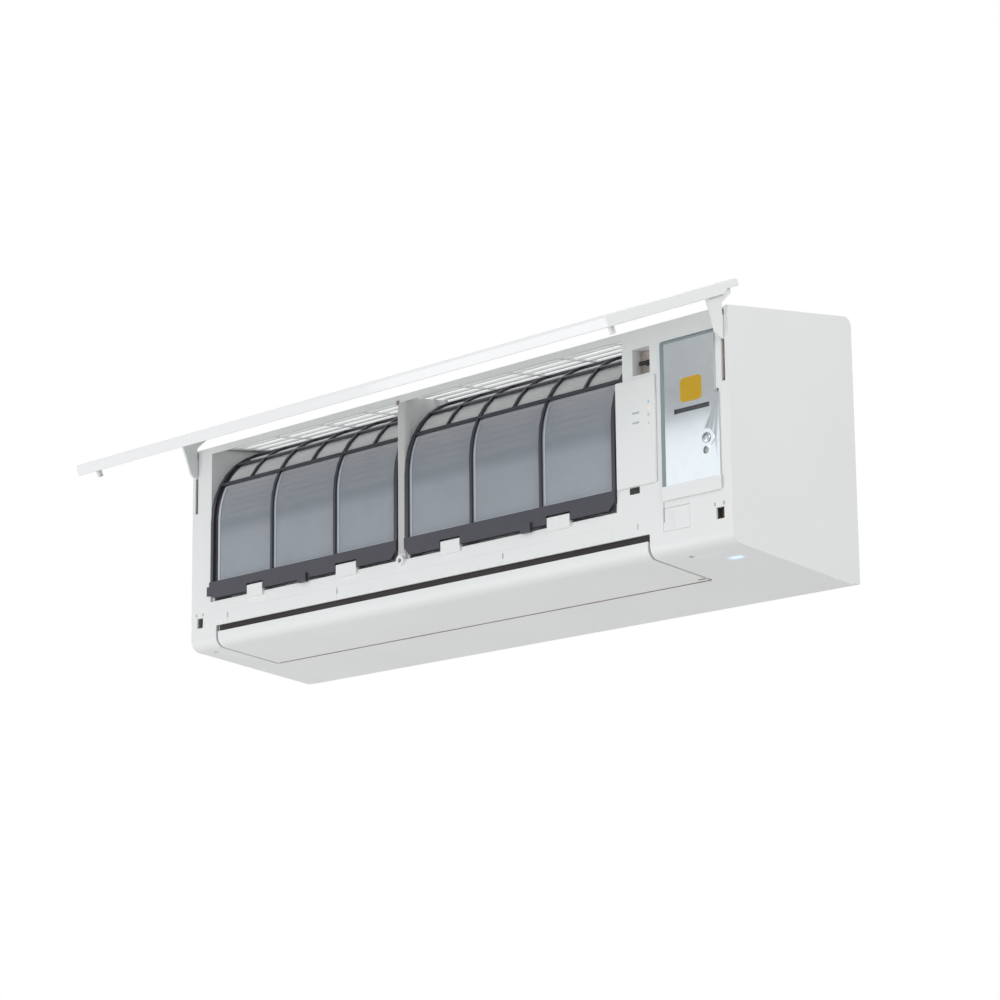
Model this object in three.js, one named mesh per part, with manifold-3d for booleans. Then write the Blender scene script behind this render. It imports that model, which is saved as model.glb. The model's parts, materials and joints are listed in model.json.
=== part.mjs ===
// Indoor unit of a split air conditioner, hung on a wall, with its front panel raised for cleaning.
// Millimetres, +Z up, +X to the right as seen from the room, +Y towards the wall.
//
// The pieces are drawn in casing coordinates: x from the left side, y back from the front frame,
// z up from the lower front corner. The exported group moves them so that the origin is the middle
// of the mounting plate's back face, on the wall.

import * as THREE from "three";
import { mergeVertices } from "three/addons/utils/BufferGeometryUtils.js";
import Module from "manifold-3d";

const wasm = await Module();
wasm.setup();

// ---------------------------------------------------------------- driving dimensions

const WIDTH = 885;
const DEPTH = 197; // front frame to wall
const FRONT_HEIGHT = 247;
const TOP_RISE = 22; // the top climbs this much from the front to the wall
const BOTTOM_DROP = 24; // and the bottom falls this much
const BACK_TOP_RADIUS = 10;
const CHIN_RADIUS = 13; // rounded lower front corner
const REAR_STEP = 2; // the bottom steps up this much just before the wall
const REAR_STEP_LENGTH = 10;
const WALL = 2.4; // moulded wall
const GAP = 0.3; // clearance of a piece to its seat
const PLATE_CENTRE_HEIGHT = (FRONT_HEIGHT + TOP_RISE - BOTTOM_DROP) / 2;

// Across the front, from the left side.
const LEFT_COLUMN = 37;
const BAY_RIGHT = WIDTH - 162;
const BAR_WIDTH = 12;
const BAR_X = (LEFT_COLUMN + BAY_RIGHT) / 2 + 4; // the bar between the two filters
const SILL_HEIGHT = 55;
const RAIL_HEIGHT = 8; // front rail over the filters

// Air outlet and flap.
const OUTLET_LEFT = 48;
const OUTLET_RIGHT = WIDTH - 116;
const OUTLET_TOP = 25;
const OUTLET_BACK = DEPTH - 100;
const FLAP_TOP = 17.5;
const FLAP_BACK = OUTLET_BACK - 3;
const FLAP_THICKNESS = 3.6;
const FLAP_END_GAP = 3.4; // from the outlet's end to the flap
const FLAP_PIVOT = [OUTLET_BACK - 37, 12];
const FLAP_PIN_RADIUS = 3.5;
const DUCT_WALL_LEFT = OUTLET_LEFT + 0.4;
const DUCT_WALL_RIGHT = OUTLET_RIGHT - 0.4;

// Fan.
const FAN_RADIUS = 44;
const FAN_CENTRE = [DEPTH - 79, 104];
const FAN_LEFT = 56;
const FAN_RIGHT = WIDTH - 123;
const SHAFT_RADIUS = 4;
const BLADES = 18;
const FAN_DISCS = 5;
const SCROLL_START = FAN_RADIUS + 4; // radius of the scroll at its tongue
const SCROLL_END = SCROLL_START + 15; // and where it runs out into the duct

// Filters.
const FILTER_FACE = -1.5; // front of the ribs, just ahead of the frame
const FILTER_RADIUS = 101.5;
const FILTER_ARC_HEIGHT = FRONT_HEIGHT - 95;
const FILTER_ARC_DEGREES = 78;
const SIDE_RIB_DEPTH = 4.3;
const RIB_DEPTH = 3.2;
const SIDE_RIB_WIDTH = 5;
const RIB_WIDTH = 3.6;
const NET_THICKNESS = 0.8;
const BAR_BOTTOM = SILL_HEIGHT + 3;
const BAR_TOP = SILL_HEIGHT + 23.5;
const BAR_FACE = -3.3;
const STOP_HEIGHT = 10; // the casing's stops stand this far above the sill
const UPRIGHTS = [[0, 0.338, 0.681, 1], [0, 0.325, 0.662, 1]]; // each filter's ribs, as shares of its width
const STOPS = [[[0.21, 0.3], [0.69, 0.8]], [[0.18, 0.28], [0.69, 0.8]]]; // and its notches for the stops
const TAB_SPOTS = [0.52, 0.6]; // and its pull tab

// Front panel, hinged inside the casing.
const HINGE = [44, FRONT_HEIGHT - 20.5];
const PANEL_RAISED = 68.7; // degrees from shut to the raised stop
const PANEL_SIDE_GAP = 2;
const PANEL_BOTTOM = 11.5;
const PANEL_HEIGHT = FRONT_HEIGHT - 36;
const PANEL_RIM_EDGE = -2; // nearest the frame when shut
const PANEL_FACE = -15;
const PANEL_SKIN = 2.4;
const LATCH = [17, 31.5]; // from either side, and up from the corner
const ARM_X = 8; // from either side
const ARM_THICKNESS = 3.6;
const HINGE_PIN_RADIUS = 4;
const SLOT_BOTTOM = FRONT_HEIGHT - 79;

// Heat exchanger.
const COIL_THICKNESS = 22;
const COIL_LEFT = 49;
const COIL_RIGHT = WIDTH - 160;
const TUBE_RADIUS = 3.5;

// Right-hand end: electrical box, display, service cover.
const ELECTRIC_LEFT = WIDTH - 93;
const ELECTRIC_RIGHT = WIDTH - 19;
const ELECTRIC_BOTTOM = 60;
const ELECTRIC_TOP = FRONT_HEIGHT - 24;
const DISPLAY_LEFT = WIDTH - 159;
const DISPLAY_RIGHT = WIDTH - 103;
const DISPLAY_BOTTOM = 78;
const DISPLAY_TOP = FRONT_HEIGHT - 54;
const LED_X = WIDTH - 111.5;
const LED_Z = [50, 41.5, 34.7, 28].map((drop) => DISPLAY_TOP - drop);
const BUTTON = [WIDTH - 136, 74];

// Up-and-down vanes that steer the air sideways, on the floor of the duct.
const VANES = 8;
const VANE_FIRST = 96;
const VANE_LAST = OUTLET_RIGHT - 51;
const VANE_THICKNESS = 1.8;
const VANE_PIN_RADIUS = 2.5;
const LINK_ARM = 12; // from a vane's pivot to its link pin
const LINK_PIN_RADIUS = 1.5;

// Back of the unit.
const BACK_PLATE = DEPTH - 11.5;
const MOUNT_SHEET = 1.2;

// ---------------------------------------------------------------- shapes

const radians = THREE.MathUtils.degToRad;
const topAt = (y) => FRONT_HEIGHT + (TOP_RISE * y) / DEPTH;
const bottomAt = (y) => (-BOTTOM_DROP * y) / DEPTH;
const bottomInside = (y) => bottomAt(y) + WALL + (REAR_STEP * y) / DEPTH;
const round = (centre, r, angle) => [
  centre[0] + r * Math.cos(radians(angle)),
  centre[1] + r * Math.sin(radians(angle)),
];

function arc(centre, r, from, to, steps) {
  const points = [];
  for (let i = 0; i <= steps; i++) points.push(round(centre, r, from + ((to - from) * i) / steps));
  return points;
}

// A closed three.js geometry as a solid that can be joined and cut.
function solid(geometry) {
  const loose = geometry.index ? geometry.toNonIndexed() : geometry;
  const bare = new THREE.BufferGeometry().setAttribute("position", loose.getAttribute("position"));
  const merged = mergeVertices(bare, 1e-4);
  return new wasm.Manifold(
    new wasm.Mesh({
      numProp: 3,
      vertProperties: merged.getAttribute("position").array,
      triVerts: new Uint32Array(merged.index.array),
    }),
  );
}

function box(x, y, z) {
  const size = [x, y, z].map(([low, high]) => high - low);
  const middle = [x, y, z].map(([low, high]) => (low + high) / 2);
  return solid(new THREE.BoxGeometry(...size).translate(...middle));
}

// An outline extruded along one axis; the basis says where its two directions and its depth point.
function extruded(outline, depth, basis, offset) {
  const shape = new THREE.Shape(outline.map(([a, b]) => new THREE.Vector2(a, b)));
  const geometry = new THREE.ExtrudeGeometry(shape, { depth, bevelEnabled: false });
  geometry.applyMatrix4(new THREE.Matrix4().makeBasis(...basis));
  return solid(geometry.translate(...offset));
}

const X = new THREE.Vector3(1, 0, 0);
const Y = new THREE.Vector3(0, 1, 0);
const Z = new THREE.Vector3(0, 0, 1);

// An outline of [y, z] points, along X.
const alongX = (outline, [low, high]) => extruded(outline, high - low, [Y, Z, X], [low, 0, 0]);
// An outline of [x, z] points, along Y.
const alongY = (outline, [low, high]) =>
  extruded(outline, high - low, [X, Z, Y.clone().negate()], [0, high, 0]);

// A rod between two points.
function rod(from, to, radius, sides = 12) {
  const a = new THREE.Vector3(...from);
  const b = new THREE.Vector3(...to);
  const direction = b.clone().sub(a);
  const geometry = new THREE.CylinderGeometry(radius, radius, direction.length(), sides);
  geometry.applyQuaternion(new THREE.Quaternion().setFromUnitVectors(Y, direction.clone().normalize()));
  return solid(geometry.translate(...a.add(b).multiplyScalar(0.5).toArray()));
}

const rodX = ([y, z], [low, high], radius, sides) => rod([low, y, z], [high, y, z], radius, sides);
const rodY = ([x, z], [low, high], radius, sides) => rod([x, low, z], [x, high, z], radius, sides);
const rodZ = ([x, y], [low, high], radius, sides) => rod([x, y, low], [x, y, high], radius, sides);

const join = (first, ...others) => others.flat().reduce((sum, next) => sum.add(next), first);
const cut = (first, ...others) => others.flat().reduce((rest, next) => rest.subtract(next), first);
const mirrorX = (x) => WIDTH - x;

// The outline of a bent sheet: its path, and the same path moved to the left of it by the thickness.
function sheet(path, thickness) {
  const normals = path.slice(1).map(([y, z], i) => {
    const along = new THREE.Vector2(y - path[i][0], z - path[i][1]).normalize();
    return new THREE.Vector2(-along.y, along.x);
  });
  const far = path.map(([y, z], i) => {
    const before = normals[Math.max(i - 1, 0)];
    const after = normals[Math.min(i, normals.length - 1)];
    const middle = before.clone().add(after).normalize();
    const reach = thickness / middle.dot(after);
    return [y + middle.x * reach, z + middle.y * reach];
  });
  return [...path, ...far.reverse()];
}

// A bent pipe: straight runs between the points, with each bend rounded.
function pipe(points, radius, bend, sides = 8) {
  const corners = points.map((p) => new THREE.Vector3(...p));
  const path = new THREE.CurvePath();
  let start = corners[0];
  for (let i = 1; i < corners.length - 1; i++) {
    const into = corners[i].clone().add(corners[i - 1].clone().sub(corners[i]).setLength(bend));
    const out = corners[i].clone().add(corners[i + 1].clone().sub(corners[i]).setLength(bend));
    path.add(new THREE.LineCurve3(start, into));
    path.add(new THREE.QuadraticBezierCurve3(into, corners[i], out));
    start = out;
  }
  path.add(new THREE.LineCurve3(start, corners.at(-1)));
  const section = new THREE.Shape(
    arc([0, 0], radius, 0, 360 - 360 / sides, sides - 1).map((p) => new THREE.Vector2(...p)),
  );
  const steps = Math.min(80, Math.ceil(path.getLength() / (radius * 4)));
  return solid(
    new THREE.ExtrudeGeometry(section, { extrudePath: path, steps, bevelEnabled: false }),
  );
}

// ---------------------------------------------------------------- materials

const plastic = (color, roughness = 0.45) => new THREE.MeshStandardMaterial({ color, roughness });
const metal = (color, roughness = 0.35) =>
  new THREE.MeshStandardMaterial({ color, roughness, metalness: 0.9 });
const whitePlastic = plastic(0xeef0ef, 0.4);
const panelPlastic = plastic(0xf3f4f4, 0.25);
const greyPlastic = plastic(0xb9bcbb, 0.5);
const darkPlastic = plastic(0x3b3a42, 0.5);
const netCloth = plastic(0x8b939c, 0.9);
const blackRubber = plastic(0x202022, 0.8);
const fanPlastic = plastic(0x4a4e52, 0.5);
const foam = plastic(0xe4e4e0, 0.9);
const boardGreen = plastic(0x2f6b45, 0.6);
const lampBlue = plastic(0x9cc4ee, 0.2);
const lensClear = plastic(0xd8dade, 0.2);
const zincSteel = metal(0xb8bec0);
const aluminium = metal(0xc9ced2, 0.4);
const copper = metal(0xb87345);
const brass = metal(0xc9a552);

// ---------------------------------------------------------------- the scene graph

const unit = new THREE.Group();
const root = new THREE.Group();
root.add(unit);
unit.position.set(-WIDTH / 2, -DEPTH, -PLATE_CENTRE_HEIGHT);

function piece(name, shape, material, parent = unit) {
  const { vertProperties, triVerts } = shape.getMesh();
  const geometry = new THREE.BufferGeometry();
  geometry.setAttribute("position", new THREE.BufferAttribute(vertProperties, 3));
  geometry.setIndex(new THREE.BufferAttribute(triVerts, 1));
  const faceted = geometry.toNonIndexed();
  faceted.computeVertexNormals();
  const mesh = new THREE.Mesh(faceted, material);
  mesh.name = name;
  parent.add(mesh);
  return mesh;
}

// ---------------------------------------------------------------- front casing

// The side outline, drawn in from the outside by a wall where one is given.
function casingOutline(inset) {
  const chinAngle = THREE.MathUtils.radToDeg(Math.atan(BOTTOM_DROP / DEPTH));
  const turn = 90 - chinAngle;
  const tangent = CHIN_RADIUS * Math.tan(radians(turn / 2));
  const chin = arc([CHIN_RADIUS, tangent], CHIN_RADIUS - inset, 180, 180 + turn, 5);
  if (inset) {
    const behind = DEPTH + 9;
    return [
      ...chin,
      [behind, bottomInside(behind)],
      [behind, topAt(behind) - inset],
      [inset, topAt(inset) - inset],
    ];
  }
  const back = DEPTH - 0.4;
  const step = back - REAR_STEP_LENGTH;
  return [
    ...chin,
    [step, bottomAt(step)],
    [step, bottomAt(step) + REAR_STEP],
    [back, bottomAt(step) + REAR_STEP],
    ...arc([back - BACK_TOP_RADIUS, topAt(back) - BACK_TOP_RADIUS], BACK_TOP_RADIUS, 0, 90, 4),
    [0, FRONT_HEIGHT],
  ];
}

// The filter's path from its lower end up the front and back under the top, at one radius.
const filterCentre = [FILTER_FACE + FILTER_RADIUS, FILTER_ARC_HEIGHT];
const RIB_ANGLES = [29, 50, 70]; // where the filter's ribs cross its arc
const bendAngles = [0, ...RIB_ANGLES].flatMap((from, i) => {
  const to = RIB_ANGLES[i] ?? FILTER_ARC_DEGREES;
  const steps = Math.round((to - from) / 10);
  return Array.from({ length: steps }, (_, k) => from + ((to - from) * k) / steps);
});
bendAngles.push(FILTER_ARC_DEGREES);
const filterArc = (radius, from, to) =>
  bendAngles
    .filter((angle) => angle >= from && angle <= to)
    .map((angle) => round(filterCentre, radius, 180 - angle));
const filterPath = (radius, bottom, to = FILTER_ARC_DEGREES) => [
  [filterCentre[0] - radius, bottom],
  ...filterArc(radius, 0, to),
];

const sideRibInside = FILTER_RADIUS - SIDE_RIB_DEPTH;
const railRadius = sideRibInside - GAP;
const RAIL_THICKNESS = 2.2;
const GRILLE_LEFT = LEFT_COLUMN + 6;
const GRILLE_RIGHT = DISPLAY_RIGHT - 2;
const GRILLE_FRONT = 14;
const GRILLE_BACK = DEPTH - 37;
const BAY_WALL_REACH = 12; // how far the bay's walls reach behind the filter

// A wall beside a filter, with the ledge that the filter's edge lies on.
function bayWall([low, high], ledge) {
  const behind = filterPath(railRadius - BAY_WALL_REACH, SILL_HEIGHT - 4, RIB_ANGLES[2]);
  const last = behind.at(-1);
  const underGrille = (y) => [y, topAt(y) - WALL - 2 * GAP];
  const outline = [
    ...behind,
    underGrille(last[0]),
    underGrille(GRILLE_FRONT - 1),
    [GRILLE_FRONT - 1, topAt(GRILLE_FRONT) - WALL / 2],
    [WALL / 2, topAt(WALL / 2) - WALL / 2],
    [WALL / 2, SILL_HEIGHT - 4],
  ];
  const rail = sheet(filterPath(railRadius, SILL_HEIGHT - 2, RIB_ANGLES[2] - 5), -RAIL_THICKNESS);
  return join(alongX(outline, [low, high]), alongX(rail, ledge));
}

const SLOT_WIDTH = ARM_THICKNESS + 1.6;
const SLOT_RUN = 12; // how far the slot runs back over the top edge
const LATCH_HOLE = [11, 12];
const SLITS = [0.08, 0.307, 0.62, 0.85]; // snap slits over the outlet, as shares of the width
const COVER_STEP = FRONT_HEIGHT - 90; // the metal cover is wider below this height
const SERVICE = { x: [WIDTH - 96, WIDTH - 59], z: [24, 48] };
const POCKET = { x: [WIDTH - 136, WIDTH - 111], z: [FRONT_HEIGHT - 50, FRONT_HEIGHT - 21] };
const POCKET_DEPTH = 14;
const LAMP = { x: [WIDTH - 44, WIDTH - 29], y: [43, 47.5] };
const SCREW_SPOTS = [[24, 21], [WIDTH - 76, 21]];
const SCREW_RADIUS = 2;
const SCREW_HEAD = 3.4;
const SCREW_CUP = 5.4; // how far the cup that hides a screw's head reaches up
const stopSpans = ([left, right], i) =>
  STOPS[i].map((stop) => stop.map((share) => left + share * (right - left)));
const BAY_EXTRA = 11; // above the display the right-hand bay is this much wider
const filterSpans = [
  [LEFT_COLUMN + 1, BAR_X - BAR_WIDTH / 2 - 1],
  [BAR_X + BAR_WIDTH / 2 + 1, BAY_RIGHT - 1],
];
const BOARD_FACE = 8; // the display board's front
const ledWindow = { x: [LED_X - 6, LED_X + 6], z: [LED_Z[0] - 6.5, LED_Z.at(-1) + 6.5] };

// A hole through the front frame.
const frameHole = ([left, right], [low, high]) => box([left, right], [-5, WALL + 1], [low, high]);
const around = (centre, size) => [centre - size / 2, centre + size / 2];

function frontCasing() {
  const shell = cut(
    alongX(casingOutline(0), [0, WIDTH]),
    alongX(casingOutline(WALL), [WALL, WIDTH - WALL]),
  );
  const openings = [
    frameHole([LEFT_COLUMN, BAY_RIGHT], [SILL_HEIGHT, FRONT_HEIGHT - RAIL_HEIGHT]),
    frameHole([BAY_RIGHT - 1, BAY_RIGHT + BAY_EXTRA], [DISPLAY_TOP + 0.5, FRONT_HEIGHT - RAIL_HEIGHT]),
    frameHole([ELECTRIC_LEFT - 2, ELECTRIC_RIGHT - 1], [ELECTRIC_BOTTOM - 3, ELECTRIC_TOP + 3]),
    frameHole([ELECTRIC_RIGHT + 0.5, ELECTRIC_RIGHT + 4], [COVER_STEP + 1, COVER_STEP + 5]),
    ...SLITS.map((share) => frameHole(around(share * WIDTH, 1.6), [32, 38])),
    frameHole(ledWindow.x, ledWindow.z),
    frameHole(around(BUTTON[0], 14), around(BUTTON[1], 7)),
    frameHole(POCKET.x, POCKET.z),
    frameHole(
      [SERVICE.x[0] - GAP, SERVICE.x[1] + GAP],
      [SERVICE.z[0] - GAP, SERVICE.z[1] + GAP],
    ),
    box([OUTLET_LEFT, OUTLET_RIGHT], [-5, OUTLET_BACK], [-30, OUTLET_TOP]),
    box([GRILLE_LEFT, GRILLE_RIGHT], [GRILLE_FRONT, GRILLE_BACK], [FRONT_HEIGHT - 5, FRONT_HEIGHT + 40]),
    box(LAMP.x, LAMP.y, [-30, 20]),
  ];
  for (const side of [(x) => x, mirrorX]) {
    openings.push(frameHole(around(side(LATCH[0]), LATCH_HOLE[0]), around(LATCH[1], LATCH_HOLE[1])));
    openings.push(
      box(around(side(ARM_X), SLOT_WIDTH), [-5, SLOT_RUN], [SLOT_BOTTOM, FRONT_HEIGHT + 9]),
    );
  }
  const frame = cut(shell, openings);

  const barOutline = [
    [BAR_X - BAR_WIDTH / 2, SILL_HEIGHT - 3],
    [BAR_X + BAR_WIDTH / 2, SILL_HEIGHT - 3],
    [BAR_X + BAR_WIDTH / 2, FRONT_HEIGHT - 4],
    [BAR_X - BAR_WIDTH / 2, FRONT_HEIGHT - 4],
  ];
  const ledge = 3;
  const walls = [
    alongY(barOutline, [0, 7]),
    bayWall([LEFT_COLUMN - WALL, LEFT_COLUMN], [LEFT_COLUMN - WALL, LEFT_COLUMN + 1 + ledge]),
    bayWall(around(BAR_X, WALL), [BAR_X - BAR_WIDTH / 2 - 1 - ledge, BAR_X + BAR_WIDTH / 2 + 1 + ledge]),
    bayWall(
      [BAY_RIGHT + BAY_EXTRA, BAY_RIGHT + BAY_EXTRA + WALL],
      [BAY_RIGHT - 1 - ledge, BAY_RIGHT + BAY_EXTRA + 1],
    ),
  ];
  // The ring below the bar that the panel's middle catch hooks into.
  const catchRing = cut(
    rodY([BAR_X, SILL_HEIGHT - 1], [-4, 1], 6, 12),
    rodY([BAR_X, SILL_HEIGHT - 1], [-5, 2], 3, 8),
  );
  const stops = filterSpans.flatMap((filter, i) =>
    stopSpans(filter, i).map((span) =>
      box([span[0] + 1, span[1] - 1], [-3, WALL], [SILL_HEIGHT - 5, SILL_HEIGHT + STOP_HEIGHT]),
    ),
  );
  const pocket = cut(
    box(
      [POCKET.x[0] - 1.6, POCKET.x[1] + 1.6],
      [WALL / 2, POCKET_DEPTH + 1.6],
      [POCKET.z[0] - 1.6, POCKET.z[1] + 1.6],
    ),
    box(POCKET.x, [-1, POCKET_DEPTH], POCKET.z),
  );
  const boardPosts = [DISPLAY_LEFT + 18, DISPLAY_RIGHT - 20].flatMap((x) =>
    [DISPLAY_BOTTOM + 12, DISPLAY_TOP - 12].map((z) =>
      rodY([x, z], [WALL / 2, BOARD_FACE - GAP], 2.5, 8),
    ),
  );
  const hinges = [WALL / 2, mirrorX(WALL / 2)].flatMap((wall, i) => {
    const at = (x) => (i ? mirrorX(x) : x);
    const shoulder = ARM_X - ARM_THICKNESS / 2 - GAP;
    const tip = ARM_X + ARM_THICKNESS / 2 + 1;
    return [
      rodX(HINGE, [wall, at(shoulder)].sort((a, b) => a - b), HINGE_PIN_RADIUS + 3.5, 12),
      rodX(HINGE, [wall, at(tip)].sort((a, b) => a - b), HINGE_PIN_RADIUS, 12),
    ];
  });
  const body = join(frame, walls, catchRing, stops, pocket, boardPosts, hinges);
  return SCREW_SPOTS.reduce((rest, spot) => {
    const under = bottomAt(spot[1]);
    return rest
      .add(rodZ(spot, [under + 1, under + SCREW_CUP], SCREW_HEAD + 2, 12))
      .subtract(rodZ(spot, [under - 5, under + SCREW_CUP - 1.6], SCREW_HEAD + GAP, 12))
      .subtract(rodZ(spot, [under, under + SCREW_CUP + 1], SCREW_RADIUS + GAP, 8));
  }, body);
}
piece("front_casing", frontCasing(), whitePlastic);

// The air inlet in the top: bars along the unit, on ribs from front to back.
function intakeGrille() {
  const [left, right] = [GRILLE_LEFT + GAP, GRILLE_RIGHT - GAP];
  const [front, back] = [GRILLE_FRONT + GAP, GRILLE_BACK - GAP];
  const plate = alongX(
    sheet([[front, topAt(front)], [back, topAt(back)]], -WALL),
    [left, right],
  );
  const columns = 9;
  const rows = 8;
  const margin = 5;
  const bar = 5;
  const rib = 4;
  const pitchX = (right - left - 2 * margin + rib) / columns;
  const pitchY = (back - front - 2 * margin + bar) / rows;
  const holes = [];
  for (let i = 0; i < columns; i++) {
    for (let j = 0; j < rows; j++) {
      const x = left + margin + i * pitchX;
      const y = front + margin + j * pitchY;
      holes.push(
        box([x, x + pitchX - rib], [y, y + pitchY - bar], [FRONT_HEIGHT - 9, FRONT_HEIGHT + 40]),
      );
    }
  }
  return cut(plate, holes);
}
piece("intake_grille", intakeGrille(), whitePlastic);

piece(
  "service_cover",
  join(
    box(SERVICE.x, [0.2, 2], SERVICE.z),
    box([SERVICE.x[0] + 14, SERVICE.x[0] + 15.5], [-0.4, 1], [SERVICE.z[0] + 3, SERVICE.z[1] - 3]),
  ),
  whitePlastic,
);

// The running lamp's lens, in the bottom at the right.
function lampLens() {
  const [front, back] = [LAMP.y[0] + GAP, LAMP.y[1] - GAP];
  const plug = [
    [front, bottomAt(front)],
    [back, bottomAt(back)],
    [back, bottomAt(back) + 7],
    [front, bottomAt(front) + 7],
  ];
  return alongX(plug, [LAMP.x[0] + GAP, LAMP.x[1] - GAP]);
}
piece("running_lamp_lens", lampLens(), lampBlue);

SCREW_SPOTS.forEach((spot, i) => {
  const seat = bottomAt(spot[1]) + SCREW_CUP - 1.6 - GAP;
  piece(
    "casing_screw_" + (i + 1),
    join(
      rodZ(spot, [seat - 2.4, seat], SCREW_HEAD, 12),
      rodZ(spot, [seat - 1, seat + 18], SCREW_RADIUS, 8),
    ),
    zincSteel,
  );
});

// ---------------------------------------------------------------- front panel and its arms

// The panel is drawn shut, about its hinge, and the group turns it up to its raised stop.
const raised = new THREE.Group();
raised.position.set(0, ...HINGE);
raised.rotation.x = radians(-PANEL_RAISED);
unit.add(raised);

function frontPanel() {
  const [left, right] = [PANEL_SIDE_GAP, WIDTH - PANEL_SIDE_GAP];
  const top = PANEL_BOTTOM + PANEL_HEIGHT;
  const edge = 3; // rounded outer edge
  // The rim is cut back near the top, where it passes the casing's front edge as the panel swings.
  const outer = [
    [PANEL_FACE + edge, PANEL_BOTTOM],
    [PANEL_RIM_EDGE, PANEL_BOTTOM],
    [PANEL_RIM_EDGE, top - 26],
    [PANEL_RIM_EDGE - 4.5, top - 19],
    [PANEL_RIM_EDGE - 4.5, top],
    [PANEL_FACE + edge, top],
    [PANEL_FACE + edge * 0.3, top - edge * 0.3],
    [PANEL_FACE, top - edge],
    [PANEL_FACE, PANEL_BOTTOM + edge],
    [PANEL_FACE + edge * 0.3, PANEL_BOTTOM + edge * 0.3],
  ];
  const tray = cut(
    alongX(outer, [left, right]),
    box([left + 2.2, right - 2.2], [PANEL_FACE + PANEL_SKIN, 9], [PANEL_BOTTOM + 2.2, top - 2.2]),
  );
  const inside = PANEL_FACE + PANEL_SKIN - 0.5;
  const ribs = [
    box([left + 40, right - 40], [inside, PANEL_RIM_EDGE - 6.5], [PANEL_BOTTOM + 34, PANEL_BOTTOM + 36]),
    box([left + 40, right - 40], [inside, PANEL_RIM_EDGE - 8], [top - 60, top - 58]),
  ];
  const posts = [LATCH[0], mirrorX(LATCH[0])].map((x) =>
    box(around(x, 5), [inside, 6], around(LATCH[1], 6)),
  );
  return join(tray, ribs, posts).translate([0, -HINGE[0], -HINGE[1]]);
}
piece("front_panel", frontPanel(), panelPlastic, raised);

// A curved arm from the hinge pin out through its slot to the panel, drawn with the panel raised.
function panelArm(x) {
  const out = [-Math.sin(radians(90 - PANEL_RAISED)), Math.cos(radians(90 - PANEL_RAISED))];
  const down = [-out[1], out[0]];
  // A point by its distance from the hinge towards the panel, and along the panel to its lower edge.
  const onPanel = (a, b) => [
    HINGE[0] + a * out[0] + b * down[0],
    HINGE[1] + a * out[1] + b * down[1],
  ];
  const foot = HINGE[0] - PANEL_FACE - PANEL_SKIN - GAP;
  const hub = 8;
  const outline = [
    onPanel(foot, 14),
    onPanel(foot - 11, 15),
    [-0.9, FRONT_HEIGHT + 3.5],
    [-0.9, HINGE[1] + 11],
    ...arc(HINGE, hub, 95, -80, 7),
    [0, HINGE[1] - 14.5],
    [-7, HINGE[1] - 13],
    [-11, HINGE[1] - 9],
    [-12.5, HINGE[1] - 4],
    onPanel(foot, 54),
  ];
  return cut(
    alongX(outline, around(x, ARM_THICKNESS)),
    rodX(HINGE, [x - 9, x + 9], HINGE_PIN_RADIUS + GAP, 12),
  );
}
piece("panel_arm_left", panelArm(ARM_X), whitePlastic);
piece("panel_arm_right", panelArm(mirrorX(ARM_X)), whitePlastic);

// ---------------------------------------------------------------- air filters

const RIB_HALF = 1.8;

function filterFrame([left, right], index) {
  const rib = (middle, width, depth, bottom) =>
    alongX(sheet(filterPath(FILTER_RADIUS, bottom), -depth), around(middle, width));
  const spots = UPRIGHTS[index].map(
    (share) => left + SIDE_RIB_WIDTH / 2 + share * (right - left - SIDE_RIB_WIDTH),
  );
  const uprights = spots.map((x, i) => {
    const side = i % 3 === 0;
    return rib(
      x,
      side ? SIDE_RIB_WIDTH : RIB_WIDTH,
      side ? SIDE_RIB_DEPTH : RIB_DEPTH,
      BAR_TOP - 4,
    );
  });
  // The right-hand filter's cross ribs reach on over the display.
  const reach = index ? BAY_EXTRA - 2 : -1;
  const across = [...RIB_ANGLES, FILTER_ARC_DEGREES - 1.2].map((angle) => {
    const half = THREE.MathUtils.radToDeg(RIB_HALF / FILTER_RADIUS);
    const corners = [
      round(filterCentre, FILTER_RADIUS, 180 - angle + half),
      round(filterCentre, FILTER_RADIUS, 180 - angle - half),
      round(filterCentre, FILTER_RADIUS - RIB_DEPTH, 180 - angle - half),
      round(filterCentre, FILTER_RADIUS - RIB_DEPTH, 180 - angle + half),
    ];
    return alongX(corners, [left + 1, right + reach]);
  });
  // Short ribs halfway between the uprights, over the curved part only.
  const short = [0, 1, 2].map((i) => {
    const path = filterArc(FILTER_RADIUS, RIB_ANGLES[0], RIB_ANGLES[2]);
    return alongX(sheet(path, -RIB_DEPTH), around((spots[i] + spots[i + 1]) / 2, RIB_WIDTH * 0.8));
  });
  const corner = 9;
  const barOutline = [
    [left + corner, BAR_BOTTOM],
    [right - corner, BAR_BOTTOM],
    [right, BAR_BOTTOM + corner],
    [right, BAR_TOP],
    [left, BAR_TOP],
    [left, BAR_BOTTOM + corner],
  ];
  const notches = stopSpans([left, right], index).map((span) =>
    box(span, [-9, 9], [BAR_BOTTOM - 5, SILL_HEIGHT + STOP_HEIGHT + 2.2]),
  );
  const bar = cut(
    alongY(barOutline, [BAR_FACE, filterCentre[0] - FILTER_RADIUS + RIB_DEPTH]),
    notches,
  );
  const middle = left + TAB_SPOTS[index] * (right - left);
  const tab = box(around(middle, 15), [BAR_FACE - 2.5, BAR_FACE + 1.5], [BAR_BOTTOM - 4.5, BAR_BOTTOM + 6]);
  // The left-hand filter's bar ends in an ear that lies on the casing's column.
  const ear = index ? [] : box([left - 4.5, left + 3], [BAR_FACE, -GAP], [BAR_BOTTOM + 4, BAR_BOTTOM + 15]);
  return join(bar, uprights, across, short, tab, ear);
}

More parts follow.
